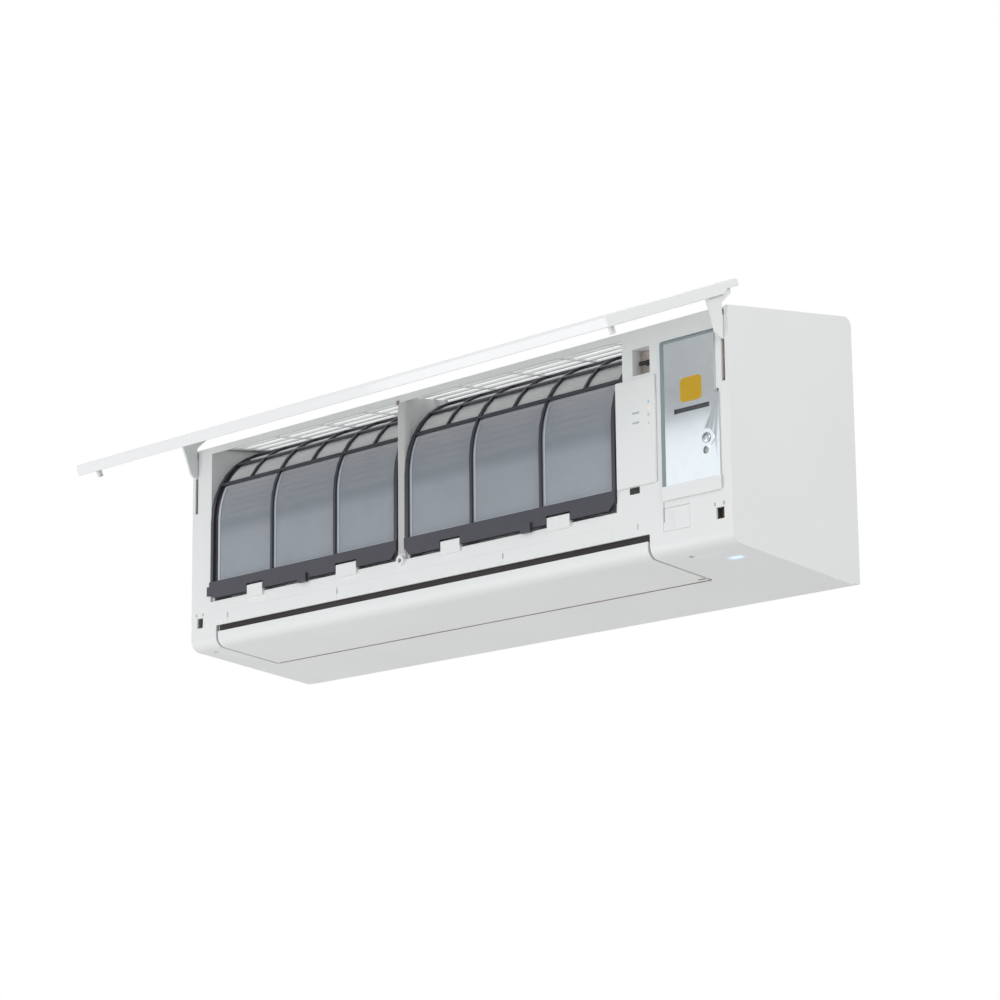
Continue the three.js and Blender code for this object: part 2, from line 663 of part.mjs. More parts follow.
function filterNet([left, right]) {
  const radius = FILTER_RADIUS - RIB_DEPTH - GAP;
  const path = filterPath(radius, BAR_BOTTOM + 18);
  const edge = SIDE_RIB_WIDTH + GAP;
  return alongX(sheet(path, -NET_THICKNESS), [left + edge, right - edge]);
}

filterSpans.forEach((span, i) => {
  const side = i ? "right" : "left";
  piece("filter_frame_" + side, filterFrame(span, i), darkPlastic);
  piece("filter_net_" + side, filterNet(span), netCloth);
});

// ---------------------------------------------------------------- heat exchanger

const COIL_FRONT = 30;
const COIL_BOTTOM = 73;
const COIL_KNEE = FRONT_HEIGHT - 87;
const COIL_APEX_HEIGHT = FRONT_HEIGHT - 10;
const REAR_SLAB_FOOT = [DEPTH - 30, FAN_CENTRE[1] + FAN_RADIUS + 10];
const apexY = FAN_CENTRE[0] - 11;

// A slab between two points on its outer face, going up; its thickness lies to the right of that.
const slabOutline = (low, high) => sheet([low, high], -COIL_THICKNESS);
const slabs = {
  coil_front_lower: slabOutline([COIL_FRONT, COIL_BOTTOM], [COIL_FRONT, COIL_KNEE - 5]),
  coil_front_upper: slabOutline([COIL_FRONT + 4, COIL_KNEE], [apexY - 19, COIL_APEX_HEIGHT]),
  coil_rear: sheet(
    [REAR_SLAB_FOOT, [apexY + 10, COIL_APEX_HEIGHT]],
    COIL_THICKNESS,
  ),
};
// The slabs are cut level at the knee and upright at the apex, so that they stand clear.
const apexGap = [apexY - 6, apexY - 3.5];
function slab(name, span) {
  const whole = alongX(slabs[name], span);
  const wide = [span[0] - 1, span[1] + 1];
  if (name === "coil_front_lower") return whole;
  if (name === "coil_rear") return cut(whole, box(wide, [0, apexGap[1]], [100, 300]));
  return cut(
    whole,
    box(wide, [0, DEPTH], [0, COIL_KNEE]),
    box(wide, [apexGap[0], DEPTH], [100, 300]),
  );
}
for (const name of Object.keys(slabs)) {
  piece(name, slab(name, [COIL_LEFT, COIL_RIGHT]), aluminium);
}

// Two rows of tubes run through each slab; pairs of them are joined by return bends at the ends.
function tubeSpots(outline, count) {
  const [a, b, , far] = outline; // low and high on the outer face, and low on the inner face
  const along = [(b[0] - a[0]) / count, (b[1] - a[1]) / count];
  const in_ = [far[0] - a[0], far[1] - a[1]];
  const spots = [];
  for (let i = 0; i < count; i++) {
    for (const share of [0.27, 0.73]) {
      spots.push([
        a[0] + along[0] * (i + 0.5) + in_[0] * share,
        a[1] + along[1] * (i + 0.5) + in_[1] * share,
      ]);
    }
  }
  return spots;
}

// A return bend between two tubes: two short legs and a bow, standing out from the end plate.
function returnBend(a, b, x, outwards) {
  const reach = 9 * outwards;
  return pipe(
    [[x, ...a], [x + reach, ...a], [x + reach, ...b], [x, ...b]],
    TUBE_RADIUS,
    5.5,
    6,
  );
}

const END_PLATE = 1.6;
const TUBE_PAIRS = 3;
const PIPED_PAIR = 1; // the pair at the rear slab's right end that the room's two pipes join
function coilEnd(x, outwards) {
  const inner = x;
  const outer = x + END_PLATE * outwards;
  const span = [inner, outer].sort((p, q) => p - q);
  const plates = Object.keys(slabs).map((name) => slab(name, span));
  const bridge = (from, to) => {
    const between = [(from[0] + to[0]) / 2, (from[1] + to[1]) / 2];
    return box(span, around(between[0], 20), around(between[1], 16));
  };
  const lowerTop = slabs.coil_front_lower[1];
  const upperTop = slabs.coil_front_upper[1];
  const rearTop = slabs.coil_rear[1];
  const bridges = [
    bridge([lowerTop[0] + 14, lowerTop[1] + 2], [lowerTop[0] + 16, lowerTop[1] + 4]),
    bridge([upperTop[0] + 12, upperTop[1] - 8], [rearTop[0] - 6, rearTop[1] - 10]),
  ];
  const bends = Object.entries(slabs).flatMap(([name, outline]) => {
    const spots = tubeSpots(outline, TUBE_PAIRS);
    const piped = outwards > 0 && name === "coil_rear" ? PIPED_PAIR : -1;
    return [0, 1, 2]
      .filter((pair) => pair !== piped)
      .map((pair) =>
        returnBend(spots[2 * pair], spots[2 * pair + 1], outer - 0.4 * outwards, outwards),
      );
  });
  return join(plates[0], plates.slice(1), bridges, bends);
}
piece("coil_end_left", coilEnd(COIL_LEFT - GAP, -1), aluminium);
piece("coil_end_right", coilEnd(COIL_RIGHT + GAP, 1), aluminium);

// ---------------------------------------------------------------- drain pan

const PAN_LEFT = DUCT_WALL_LEFT + WALL + GAP;
const PAN_RIGHT = DUCT_WALL_RIGHT - WALL - GAP;
const TROUGH = 8; // depth of the trough below the coil
const DRAIN = [43, 63]; // drain sockets at both ends
const tonguePoint = round(FAN_CENTRE, FAN_RADIUS + 5, 207);

// One foam-lined moulding: the trough under the front coil, and below it the roof of the duct.
function drainPan() {
  const lip = 3.2;
  const outline = [
    [lip, OUTLET_TOP + 2.5],
    [26, OUTLET_TOP + 15],
    [50, OUTLET_TOP + 30],
    [68, OUTLET_TOP + 44],
    tonguePoint,
    [tonguePoint[0] - 6, tonguePoint[1] + 4],
    [62, COIL_BOTTOM + 3],
    [57, COIL_BOTTOM - TROUGH],
    [28, COIL_BOTTOM - TROUGH],
    [25, COIL_BOTTOM + 6],
    [22.5, COIL_BOTTOM + 6],
    [20, COIL_BOTTOM - 20],
    [lip, OUTLET_TOP + 16],
  ];
  const body = alongX(outline, [PAN_LEFT, PAN_RIGHT]);
  const rests = [0.15, 0.5, 0.85].map((share) => {
    const x = COIL_LEFT + share * (COIL_RIGHT - COIL_LEFT);
    return box([x - 3, x + 3], [34, 50], [COIL_BOTTOM - TROUGH - 2, COIL_BOTTOM - GAP]);
  });
  // The hanger in the middle of the duct that carries the flap's middle pin.
  const hangerX = (OUTLET_LEFT + OUTLET_RIGHT) / 2;
  const hanger = alongX(
    [
      [72, OUTLET_TOP + 50],
      [50, OUTLET_TOP + 34],
      [FLAP_PIVOT[0] - 6.5, FLAP_PIVOT[1] + 2],
      ...arc(FLAP_PIVOT, 6.5, 180, 360, 6),
      [FLAP_PIVOT[0] + 6.5, FLAP_PIVOT[1] + 2],
    ],
    around(hangerX, 5),
  );
  const sockets = [
    rodX(DRAIN, [PAN_LEFT - 12, PAN_LEFT + 3], 8, 12),
    rodX(DRAIN, [PAN_RIGHT - 3, PAN_RIGHT + 14], 8, 12),
  ];
  const bores = [
    rodX(DRAIN, [PAN_LEFT - 13, PAN_LEFT + 10], 5, 8),
    rodX(DRAIN, [PAN_RIGHT - 10, PAN_RIGHT + 15], 5, 8),
    box([PAN_LEFT + 6, PAN_LEFT + 12], around(DRAIN[0], 8), [DRAIN[1] - 2, COIL_BOTTOM]),
    box([PAN_RIGHT - 12, PAN_RIGHT - 6], around(DRAIN[0], 8), [DRAIN[1] - 2, COIL_BOTTOM]),
  ];
  return cut(
    join(body, rests, hanger, sockets),
    bores,
    rodX(FLAP_PIVOT, [hangerX - 9, hangerX + 9], FLAP_PIN_RADIUS + GAP, 12),
  );
}
piece("drain_pan", drainPan(), foam);
piece(
  "drain_plug",
  join(
    rodX(DRAIN, [PAN_LEFT - 16, PAN_LEFT - 12 - GAP], 8, 12),
    rodX(DRAIN, [PAN_LEFT - 13, PAN_LEFT - 2], 5 - GAP, 8),
  ),
  blackRubber,
);

// ---------------------------------------------------------------- rear chassis

const scrollAt = (behind) =>
  [42, 24, 6, -12, -30, -48].map((angle, i) =>
    round(FAN_CENTRE, SCROLL_START + ((SCROLL_END - SCROLL_START) * i) / 5 + behind, angle),
  );
const scroll = scrollAt(0);
const floorTop = scroll.at(-1);
const floorEnd = [OUTLET_BACK + 3, bottomAt(OUTLET_BACK + 3) + WALL + GAP + 0.6];
// The duct's floor as directions: downstream along it, and up off it into the duct.
const floorRun = new THREE.Vector2(floorEnd[0] - floorTop[0], floorEnd[1] - floorTop[1]).normalize();
const floorUp = new THREE.Vector2(floorRun.y, -floorRun.x);
const VANE_SETBACK = FAN_RADIUS - 11; // down the floor from its upper end to the vanes' pivots
const vaneRoot = [floorTop[0] + VANE_SETBACK * floorRun.x, floorTop[1] + VANE_SETBACK * floorRun.y];
// A point by its distance downstream from the vanes' pivots, and its height off the floor.
const inDuct = (downstream, height) => [
  vaneRoot[0] + downstream * floorRun.x + height * floorUp.x,
  vaneRoot[1] + downstream * floorRun.y + height * floorUp.y,
];
const inDuct3 = (x, downstream, height) => [x, ...inDuct(downstream, height)];

const vaneSpots = Array.from(
  { length: VANES },
  (_, i) => VANE_FIRST + (i * (VANE_LAST - VANE_FIRST)) / (VANES - 1),
);
const CRANK_X = OUTLET_RIGHT + 17;
const LINK = { downstream: [4, 19], height: [35, 37.4] };
const CHASSIS_LEFT = 20;
const CHASSIS_RIGHT = WIDTH - 20;
const CHASSIS_BOTTOM = 48;
const CHASSIS_TOP = FRONT_HEIGHT + 5;
const HOOKS = [230, WIDTH - 230];
const HOOK_HEIGHT = FRONT_HEIGHT - 25;
const BEARING = [34, 46];
const RUBBER_RADIUS = 16;
const CLAMP_X = WIDTH / 2 + 168;

function rearChassis() {
  const ductFloor = alongX(
    sheet([...scroll, floorEnd], WALL),
    [DUCT_WALL_LEFT, DUCT_WALL_RIGHT],
  );
  const gutter = alongX(
    sheet(
      [
        [BACK_PLATE + 1, scroll[0][1] + 16],
        [BACK_PLATE - 2, scroll[0][1] + 4],
        [scroll[0][0] + 2, scroll[0][1] - 0.4],
        [scroll[0][0] - 3.4, scroll[0][1] + 9],
      ],
      -2,
    ),
    [DUCT_WALL_LEFT, DUCT_WALL_RIGHT],
  );
  const backPlate = box(
    [CHASSIS_LEFT, CHASSIS_RIGHT],
    [BACK_PLATE, BACK_PLATE + 2.5],
    [CHASSIS_BOTTOM, CHASSIS_TOP],
  );
  const behind = scrollAt(WALL / 2);
  const ribOutline = [
    behind[0],
    [BACK_PLATE + 1, behind[0][1] + 1],
    [BACK_PLATE + 1, CHASSIS_BOTTOM + 2],
    ...behind.slice(1).reverse(),
  ];
  const ribs = [0.01, 0.25, 0.5, 0.75, 0.99].map((share) => {
    const x = DUCT_WALL_LEFT + share * (DUCT_WALL_RIGHT - DUCT_WALL_LEFT - WALL);
    return alongX(ribOutline, [x, x + WALL]);
  });
  // The duct's end walls, which hold the flap's pins.
  const endOutline = [
    ...behind,
    [floorEnd[0] + 1, floorEnd[1] - 1],
    [10, bottomAt(10) + 3.6],
    [3.6, 8],
    [3.6, OUTLET_TOP + 1.5],
    [26, OUTLET_TOP + 14.5],
    [50, OUTLET_TOP + 29.5],
    [68, OUTLET_TOP + 43.5],
    tonguePoint,
  ];
  const ends = [
    [DUCT_WALL_LEFT, DUCT_WALL_LEFT + WALL],
    [DUCT_WALL_RIGHT - WALL, DUCT_WALL_RIGHT],
  ].map((span) => alongX(endOutline, span));
  // The rim around the back, which meets the wall.
  const rim = [
    box([CHASSIS_LEFT, CHASSIS_RIGHT], [BACK_PLATE + 1, DEPTH - 0.4], [CHASSIS_TOP - 3, CHASSIS_TOP]),
    box([CHASSIS_LEFT, CHASSIS_LEFT + 3], [BACK_PLATE + 1, DEPTH - 0.4], [CHASSIS_BOTTOM, CHASSIS_TOP]),
    box([CHASSIS_RIGHT - 3, CHASSIS_RIGHT], [BACK_PLATE + 1, DEPTH - 0.4], [CHASSIS_BOTTOM, CHASSIS_TOP]),
  ];
  const top = box(
    [CHASSIS_LEFT, CHASSIS_RIGHT],
    [BACK_PLATE - 4, BACK_PLATE + 1],
    [CHASSIS_TOP - 3, CHASSIS_TOP],
  );
  // Short walls that lean on the mounting plate.
  const rests = [0.25, 0.5, 0.75].map((share) =>
    box(around(WIDTH * share, 3), [BACK_PLATE + 1, DEPTH - MOUNT_SHEET - GAP], [80, HOOK_HEIGHT - 22]),
  );
  const bearingSeat = join(
    rodX(FAN_CENTRE, BEARING, RUBBER_RADIUS + 4, 16),
    box([BEARING[0] + 2, BEARING[1] - 2], [FAN_CENTRE[0], BACK_PLATE + 1], around(FAN_CENTRE[1], 24)),
    box([BEARING[0] + 2, DUCT_WALL_LEFT + 1], [FAN_CENTRE[0] + 24, BACK_PLATE], around(FAN_CENTRE[1], 6)),
  );
  const electricShelf = box(
    [ELECTRIC_LEFT + 4, ELECTRIC_RIGHT - 4],
    [66 + GAP, BACK_PLATE + 1],
    [FRONT_HEIGHT - 45, FRONT_HEIGHT - 41],
  );
  const clampTab = box(around(CLAMP_X, 30), [BACK_PLATE, BACK_PLATE + 2.5], [2, CHASSIS_BOTTOM + 2]);
  // The casing's screws go into bosses held out on arms from the duct's end walls.
  const bosses = SCREW_SPOTS.map(([x, y], i) => {
    const wall = i ? DUCT_WALL_RIGHT - 1 : DUCT_WALL_LEFT + 1;
    const foot = bottomAt(y) + SCREW_CUP + GAP;
    return join(
      rodZ([x, y], [foot, OUTLET_TOP], 5, 8),
      box([Math.min(x, wall), Math.max(x, wall)], around(y, 4), [foot + 2, OUTLET_TOP]),
    );
  });
  const vaneMotorSeat = alongX(
    [inDuct(-16, 0), inDuct(16, 0), inDuct(16, -WALL), inDuct(-16, -WALL)],
    [DUCT_WALL_RIGHT - 1, CRANK_X + 16],
  );
  const body = join(
    ductFloor, gutter, backPlate, ribs, ends, rim, top, rests, bearingSeat, electricShelf,
    clampTab, bosses, vaneMotorSeat,
  );
  const pins = [...vaneSpots, CRANK_X].map((x) =>
    rod(inDuct3(x, 0, -9), inDuct3(x, 0, 4), (x === CRANK_X ? 3 : VANE_PIN_RADIUS) + GAP, 8),
  );
  const linkWay = alongX(
    [
      inDuct(LINK.downstream[0] - 1, LINK.height[0] - 1),
      inDuct(LINK.downstream[1] + 1, LINK.height[0] - 1),
      inDuct(LINK.downstream[1] + 1, LINK.height[1] + 1),
      inDuct(LINK.downstream[0] - 1, LINK.height[1] + 1),
    ],
    [DUCT_WALL_RIGHT - WALL - 1, DUCT_WALL_RIGHT + 1],
  );
  const underside = [
    [-50, bottomInside(-50) + GAP],
    [DEPTH + 50, bottomInside(DEPTH + 50) + GAP],
    [DEPTH + 50, -90],
    [-50, -90],
  ];
  return cut(
    body,
    alongX(underside, [0, WIDTH]),
    rodX(FAN_CENTRE, [BEARING[0] - 1, BEARING[1] + 1], RUBBER_RADIUS + GAP, 16),
    rodX(FAN_CENTRE, [DUCT_WALL_LEFT - 1, DUCT_WALL_LEFT + WALL + 1], SHAFT_RADIUS + 4, 12),
    rodX(FAN_CENTRE, [DUCT_WALL_RIGHT - WALL - 1, DUCT_WALL_RIGHT + 1], SHAFT_RADIUS + 6, 12),
    rodX(FLAP_PIVOT, [DUCT_WALL_LEFT - 1, DUCT_WALL_LEFT + WALL + 1], FLAP_PIN_RADIUS + 2.4, 12),
    rodX(FLAP_PIVOT, [DUCT_WALL_RIGHT - WALL - 1, DUCT_WALL_RIGHT + 1], FLAP_PIN_RADIUS + 1, 12),
    pins,
    linkWay,
    SCREW_SPOTS.map((spot) => rodZ(spot, [-40, OUTLET_TOP - 3], SCREW_RADIUS + GAP, 8)),
    HOOKS.map((x) =>
      box(around(x, 44), [BACK_PLATE - 2, BACK_PLATE + 4], [HOOK_HEIGHT - 3, HOOK_HEIGHT + 14]),
    ),
  );
}
piece("rear_chassis", rearChassis(), greyPlastic);

// ---------------------------------------------------------------- wall mounting plate

function mountingPlate() {
  const [left, right] = [WIDTH / 2 - 300, WIDTH / 2 + 300];
  const [low, high] = [CHASSIS_BOTTOM + 4, HOOK_HEIGHT + 1.2];
  const face = [DEPTH - MOUNT_SHEET, DEPTH];
  const sheetBody = box([left, right], face, [low, high]);
  const hooks = HOOKS.map((x) =>
    join(
      box(around(x, 40), [BACK_PLATE - 3, DEPTH - MOUNT_SHEET / 2], [HOOK_HEIGHT, HOOK_HEIGHT + 1.2]),
      box(around(x, 40), [BACK_PLATE - 3, BACK_PLATE - 1.6], [HOOK_HEIGHT, HOOK_HEIGHT + 9]),
    ),
  );
  const screwHoles = [-260, -150, 150, 260].flatMap((x) =>
    [low + 22, high - 22].map((z) => rodY([WIDTH / 2 + x, z], [DEPTH - 3, DEPTH + 1], 3, 8)),
  );
  const windows = [-1, 1].map((side) =>
    box(around(WIDTH / 2 + side * 90, 90), [DEPTH - 3, DEPTH + 1], [low + 30, low + 70]),
  );
  return cut(join(sheetBody, hooks), screwHoles, windows);
}
piece("mounting_plate", mountingPlate(), zincSteel);

// ---------------------------------------------------------------- fan, shaft, bearing, motor

function crossFlowFan() {
  const discs = Array.from({ length: FAN_DISCS }, (_, i) => {
    const thickness = 2.4;
    const x = FAN_LEFT + (i * (FAN_RIGHT - FAN_LEFT - thickness)) / (FAN_DISCS - 1);
    const whole = rodX(FAN_CENTRE, [x, x + thickness], FAN_RADIUS - 0.2, 24);
    const end = i === 0 || i === FAN_DISCS - 1;
    return end ? whole : cut(whole, rodX(FAN_CENTRE, [x - 1, x + thickness + 1], FAN_RADIUS - 13, 12));
  });
  const blade = [
    [FAN_RADIUS, 0],
    [FAN_RADIUS - 5, 4.2],
    [FAN_RADIUS - 11, 5.5],
    [FAN_RADIUS - 11, 4.2],
    [FAN_RADIUS - 5, 2.8],
    [FAN_RADIUS - 1, -0.6],
  ];
  const blades = Array.from({ length: BLADES }, (_, i) => {
    const turn = radians((360 * i) / BLADES);
    const outline = blade.map(([r, side]) => [
      FAN_CENTRE[0] + r * Math.cos(turn) - side * Math.sin(turn),
      FAN_CENTRE[1] + r * Math.sin(turn) + side * Math.cos(turn),
    ]);
    return alongX(outline, [FAN_LEFT + 1, FAN_RIGHT - 1]);
  });
  const stub = rodX(FAN_CENTRE, [BEARING[0] - 3, FAN_LEFT + 1], SHAFT_RADIUS, 12);
  const hub = rodX(FAN_CENTRE, [FAN_RIGHT - 22, FAN_RIGHT - 1], SHAFT_RADIUS + 5, 12);
  const bore = rodX(FAN_CENTRE, [FAN_RIGHT - 20, FAN_RIGHT + 1], SHAFT_RADIUS + GAP, 12);
  return cut(join(discs[0], discs.slice(1), blades, stub, hub), bore);
}
piece("cross_flow_fan", crossFlowFan(), fanPlastic);

const MOTOR = { x: [OUTLET_RIGHT + 9, OUTLET_RIGHT + 73], radius: 36 };
piece(
  "motor_shaft",
  rodX(FAN_CENTRE, [FAN_RIGHT - 20 + GAP, MOTOR.x[0] + 12], SHAFT_RADIUS, 12),
  zincSteel,
);
piece(
  "fan_motor",
  cut(
    join(
      rodX(FAN_CENTRE, [MOTOR.x[0] + 4, MOTOR.x[1]], MOTOR.radius, 24),
      rodX(FAN_CENTRE, [MOTOR.x[0], MOTOR.x[0] + 5], 14, 16),
    ),
    rodX(FAN_CENTRE, [MOTOR.x[0] - 1, MOTOR.x[0] + 13], SHAFT_RADIUS + GAP, 12),
  ),
  darkPlastic,
);

// A band around the motor, on a foot that stands on the chassis.
function motorBand() {
  const span = [MOTOR.x[0] + 20, MOTOR.x[0] + 44];
  const ring = rodX(FAN_CENTRE, span, MOTOR.radius + 3.2, 24);
  const foot = box(span, [FAN_CENTRE[0] + 20, BACK_PLATE - GAP], around(FAN_CENTRE[1], 30));
  return cut(
    join(ring, foot),
    rodX(FAN_CENTRE, [span[0] - 1, span[1] + 1], MOTOR.radius + GAP, 24),
  );
}
piece("motor_band", motorBand(), greyPlastic);

const ring = (span, outer, inner) =>
  cut(rodX(FAN_CENTRE, span, outer, 16), rodX(FAN_CENTRE, [span[0] - 1, span[1] + 1], inner, 16));
piece("bearing_rubber", ring(BEARING, RUBBER_RADIUS, 8 + GAP), blackRubber);
piece("fan_bearing", ring([BEARING[0] + 1, BEARING[1] - 1], 8, SHAFT_RADIUS + GAP), brass);

// ---------------------------------------------------------------- flap

const FLAP_SPAN = [OUTLET_LEFT + FLAP_END_GAP, OUTLET_RIGHT - FLAP_END_GAP];
const LUG_THICKNESS = 4;

function flap() {
  const chin = casingOutline(0).slice(0, 6);
  const skin = alongX(
    sheet([[0, FLAP_TOP], ...chin, [FLAP_BACK, bottomAt(FLAP_BACK)]], FLAP_THICKNESS),
    FLAP_SPAN,
  );
  const lugOutline = [
    ...arc(FLAP_PIVOT, 6.2, 0, 180, 6),
    [FLAP_PIVOT[0] - 14, bottomAt(FLAP_PIVOT[0] - 14) + 1.5],
    [FLAP_PIVOT[0] + 14, bottomAt(FLAP_PIVOT[0] + 14) + 1.5],
  ];
  const middle = (OUTLET_LEFT + OUTLET_RIGHT) / 2;
  const lugs = [
    FLAP_SPAN[0] + LUG_THICKNESS / 2,
    middle - 6,
    middle + 6,
    FLAP_SPAN[1] - LUG_THICKNESS / 2,
  ].map((x) => alongX(lugOutline, around(x, LUG_THICKNESS)));
  const pins = [
    rodX(FLAP_PIVOT, [FLAP_SPAN[0] - 7, FLAP_SPAN[0] + 1], FLAP_PIN_RADIUS, 12),
    rodX(FLAP_PIVOT, [middle - 7, middle + 7], FLAP_PIN_RADIUS, 12),
    rodX(FLAP_PIVOT, [FLAP_SPAN[1] - 1, FLAP_SPAN[1] + 12], FLAP_PIN_RADIUS, 12),
  ];
  return join(skin, lugs, pins);
}
piece("flap", flap(), whitePlastic);

piece(
  "flap_bush",
  cut(
    rodX(FLAP_PIVOT, [DUCT_WALL_LEFT - 2, DUCT_WALL_LEFT + WALL], FLAP_PIN_RADIUS + 2.4 - GAP, 12),
    rodX(FLAP_PIVOT, [DUCT_WALL_LEFT - 3, DUCT_WALL_LEFT + WALL + 1], FLAP_PIN_RADIUS + GAP, 12),
  ),
  darkPlastic,
);
const FLAP_MOTOR = [DUCT_WALL_RIGHT + GAP, DUCT_WALL_RIGHT + 18];
piece(
  "flap_motor",
  cut(
    rodX(FLAP_PIVOT, FLAP_MOTOR, 12, 16),
    rodX(FLAP_PIVOT, [FLAP_MOTOR[0] - 1, FLAP_MOTOR[0] + 10], FLAP_PIN_RADIUS + GAP, 12),
  ),
  zincSteel,
);

// ---------------------------------------------------------------- vanes and their link

const VANE_OUTLINE = [[-12, 2], [18, 2], [20, 32], [3, 34], [-12, 18]];
const vanePlate = VANE_OUTLINE.map(([downstream, height]) => inDuct(downstream, height));

vaneSpots.forEach((x, i) => {
  piece(
    "vane_" + (i + 1),
    join(
      alongX(vanePlate, around(x, VANE_THICKNESS)),
      rod(inDuct3(x, 0, -4), inDuct3(x, 0, 6), VANE_PIN_RADIUS, 8),
      rod(inDuct3(x, LINK_ARM, 30), inDuct3(x, LINK_ARM, 38.6), LINK_PIN_RADIUS, 8),
    ),
    darkPlastic,
  );
});

function vaneLink() {
  const { downstream, height } = LINK;
  const bar = alongX(
    [
      inDuct(downstream[0], height[0]),
      inDuct(downstream[1], height[0]),
      inDuct(downstream[1], height[1]),
      inDuct(downstream[0], height[1]),
    ],
    [VANE_FIRST - 10, CRANK_X + 10],
  );
  const slots = [...vaneSpots, CRANK_X].map((x) =>
    alongX(
      [
        inDuct(LINK_ARM - 4.6, height[0] - 1),
        inDuct(LINK_ARM + 2.2, height[0] - 1),
        inDuct(LINK_ARM + 2.2, height[1] + 1),
        inDuct(LINK_ARM - 4.6, height[1] + 1),
      ],
      around(x, 2 * LINK_PIN_RADIUS + 1.7),
    ),
  );
  return cut(bar, slots);
}
piece("vane_link", vaneLink(), darkPlastic);

// The crank that the vane motor turns: a post beside the duct, with the same arm as a vane.
piece(
  "vane_crank",
  join(
    rod(inDuct3(CRANK_X, 0, -8), inDuct3(CRANK_X, 0, 33), 3, 8),
    rod(inDuct3(CRANK_X, LINK_ARM, 30), inDuct3(CRANK_X, LINK_ARM, 38.6), LINK_PIN_RADIUS, 8),
    alongX(
      [inDuct(-3, 30), inDuct(LINK_ARM + 2, 30), inDuct(LINK_ARM + 2, 33), inDuct(-3, 33)],
      around(CRANK_X, 5),
    ),
  ),
  darkPlastic,
);
piece(
  "vane_motor",
  cut(
    rod(inDuct3(CRANK_X, 0, -20), inDuct3(CRANK_X, 0, -WALL - GAP), 11, 12),
    rod(inDuct3(CRANK_X, 0, -9), inDuct3(CRANK_X, 0, 0), 3 + GAP, 8),
  ),
  zincSteel,
);

// ---------------------------------------------------------------- refrigerant pipes

const PIPE_START = COIL_RIGHT + GAP + END_PLATE + GAP;
const pipedSpots = tubeSpots(slabs.coil_rear, TUBE_PAIRS).slice(2 * PIPED_PAIR);
const GAS = { radius: 4.8, y: DEPTH - 23, z: 8, end: WIDTH / 2 + 80 };
const LIQUID = { radius: 3.2, y: DEPTH - 23, z: 26, end: WIDTH / 2 + 118 };

piece(
  "gas_pipe",
  pipe(
    [
      [PIPE_START, ...pipedSpots[0]],
      [PIPE_START + 24, ...pipedSpots[0]],
      [WIDTH - 31, GAS.y - 14, pipedSpots[0][1] - 4],
      [WIDTH - 31, GAS.y, GAS.z],
      [GAS.end, GAS.y, GAS.z],
    ],
    GAS.radius,
    11,
  ),
  copper,
);
piece(
  "liquid_pipe",
  pipe(
    [
      [PIPE_START, ...pipedSpots[1]],
      [PIPE_START + 20, ...pipedSpots[1]],
      [WIDTH - 48, LIQUID.y - 9, pipedSpots[1][1] - 18],
      [WIDTH - 48, LIQUID.y, LIQUID.z],
      [LIQUID.end, LIQUID.y, LIQUID.z],
    ],
    LIQUID.radius,
    9,
  ),
  copper,
);

// A union with its flare nut, face to face with the end of its pipe.
function flareNut({ radius, y, z, end }) {
  const nut = rodX([y, z], [end - GAP - 16, end - GAP], radius + 4.4, 6);
  const thread = rodX([y, z], [end - GAP - 30, end - GAP - 15], radius + 2, 12);
  return join(nut, thread);
}
piece("gas_flare_nut", flareNut(GAS), brass);
piece("liquid_flare_nut", flareNut(LIQUID), brass);

// The saddle that holds both pipes to the chassis.
piece(
  "pipe_clamp",
  cut(
    box(around(CLAMP_X, 14), [GAS.y - 9, BACK_PLATE - GAP], [GAS.z - 8, LIQUID.z + 8]),
    rodX([GAS.y, GAS.z], around(CLAMP_X, 16), GAS.radius + GAP, 12),
    rodX([LIQUID.y, LIQUID.z], around(CLAMP_X, 16), LIQUID.radius + GAP, 12),
  ),
  greyPlastic,
);

// ---------------------------------------------------------------- electrical box

const BOX = { x: [ELECTRIC_LEFT + 2, ELECTRIC_RIGHT - 2], y: [3, 66], z: [ELECTRIC_BOTTOM, ELECTRIC_TOP] };
const BOX_WALL = 2;
piece(
  "electrical_box",
  cut(
    box(BOX.x, BOX.y, BOX.z),
    box(
      [BOX.x[0] + BOX_WALL, BOX.x[1] - BOX_WALL],
      [0, BOX.y[1] - BOX_WALL],
      [BOX.z[0] + BOX_WALL, BOX.z[1] - BOX_WALL],
    ),
    rodX([48, BOX.z[0] + 14], [BOX.x[0] - 1, BOX.x[0] + 3], 6, 8),
  ),
  greyPlastic,
);

const boardBack = BOX.y[1] - BOX_WALL - GAP;
function controlBoard() {
  const [left, right] = [BOX.x[0] + BOX_WALL + 2, BOX.x[1] - BOX_WALL - 2];
  const [low, high] = [BOX.z[0] + 44, BOX.z[1] - 6];
  const board = box([left, right], [boardBack - 1.6, boardBack], [low, high]);
  const face = boardBack - 1;
  const parts = [
    box([left + 4, left + 20], [face - 16, face], [low + 6, low + 26]),
    box([left + 26, left + 44], [face - 12, face], [low + 8, low + 24]),
    box([left + 6, left + 40], [face - 24, face], [low + 40, low + 58]),
    rodY([right - 12, low + 48], [face - 26, face], 8, 12),
    box([left + 8, left + 30], [face - 5, face], [high - 30, high - 12]),
  ];
  return join(board, parts);
}
piece("control_board", controlBoard(), boardGreen);

function terminalBlock() {
  const [left, right] = [BOX.x[0] + BOX_WALL + 4, BOX.x[1] - BOX_WALL - 4];
  const [low, high] = [BOX.z[0] + 10, BOX.z[0] + 34];
  const base = box([left, right], [boardBack - 16, boardBack], [low, high]);
  const poles = 4;
  const pitch = (right - left - 2) / poles;
  const bays = Array.from({ length: poles }, (_, i) =>
    box([left + 2 + i * pitch, left + i * pitch + pitch], [boardBack - 17, boardBack - 7], [low - 1, high + 1]),
  );
  return cut(base, bays);
}
piece("terminal_block", terminalBlock(), darkPlastic);

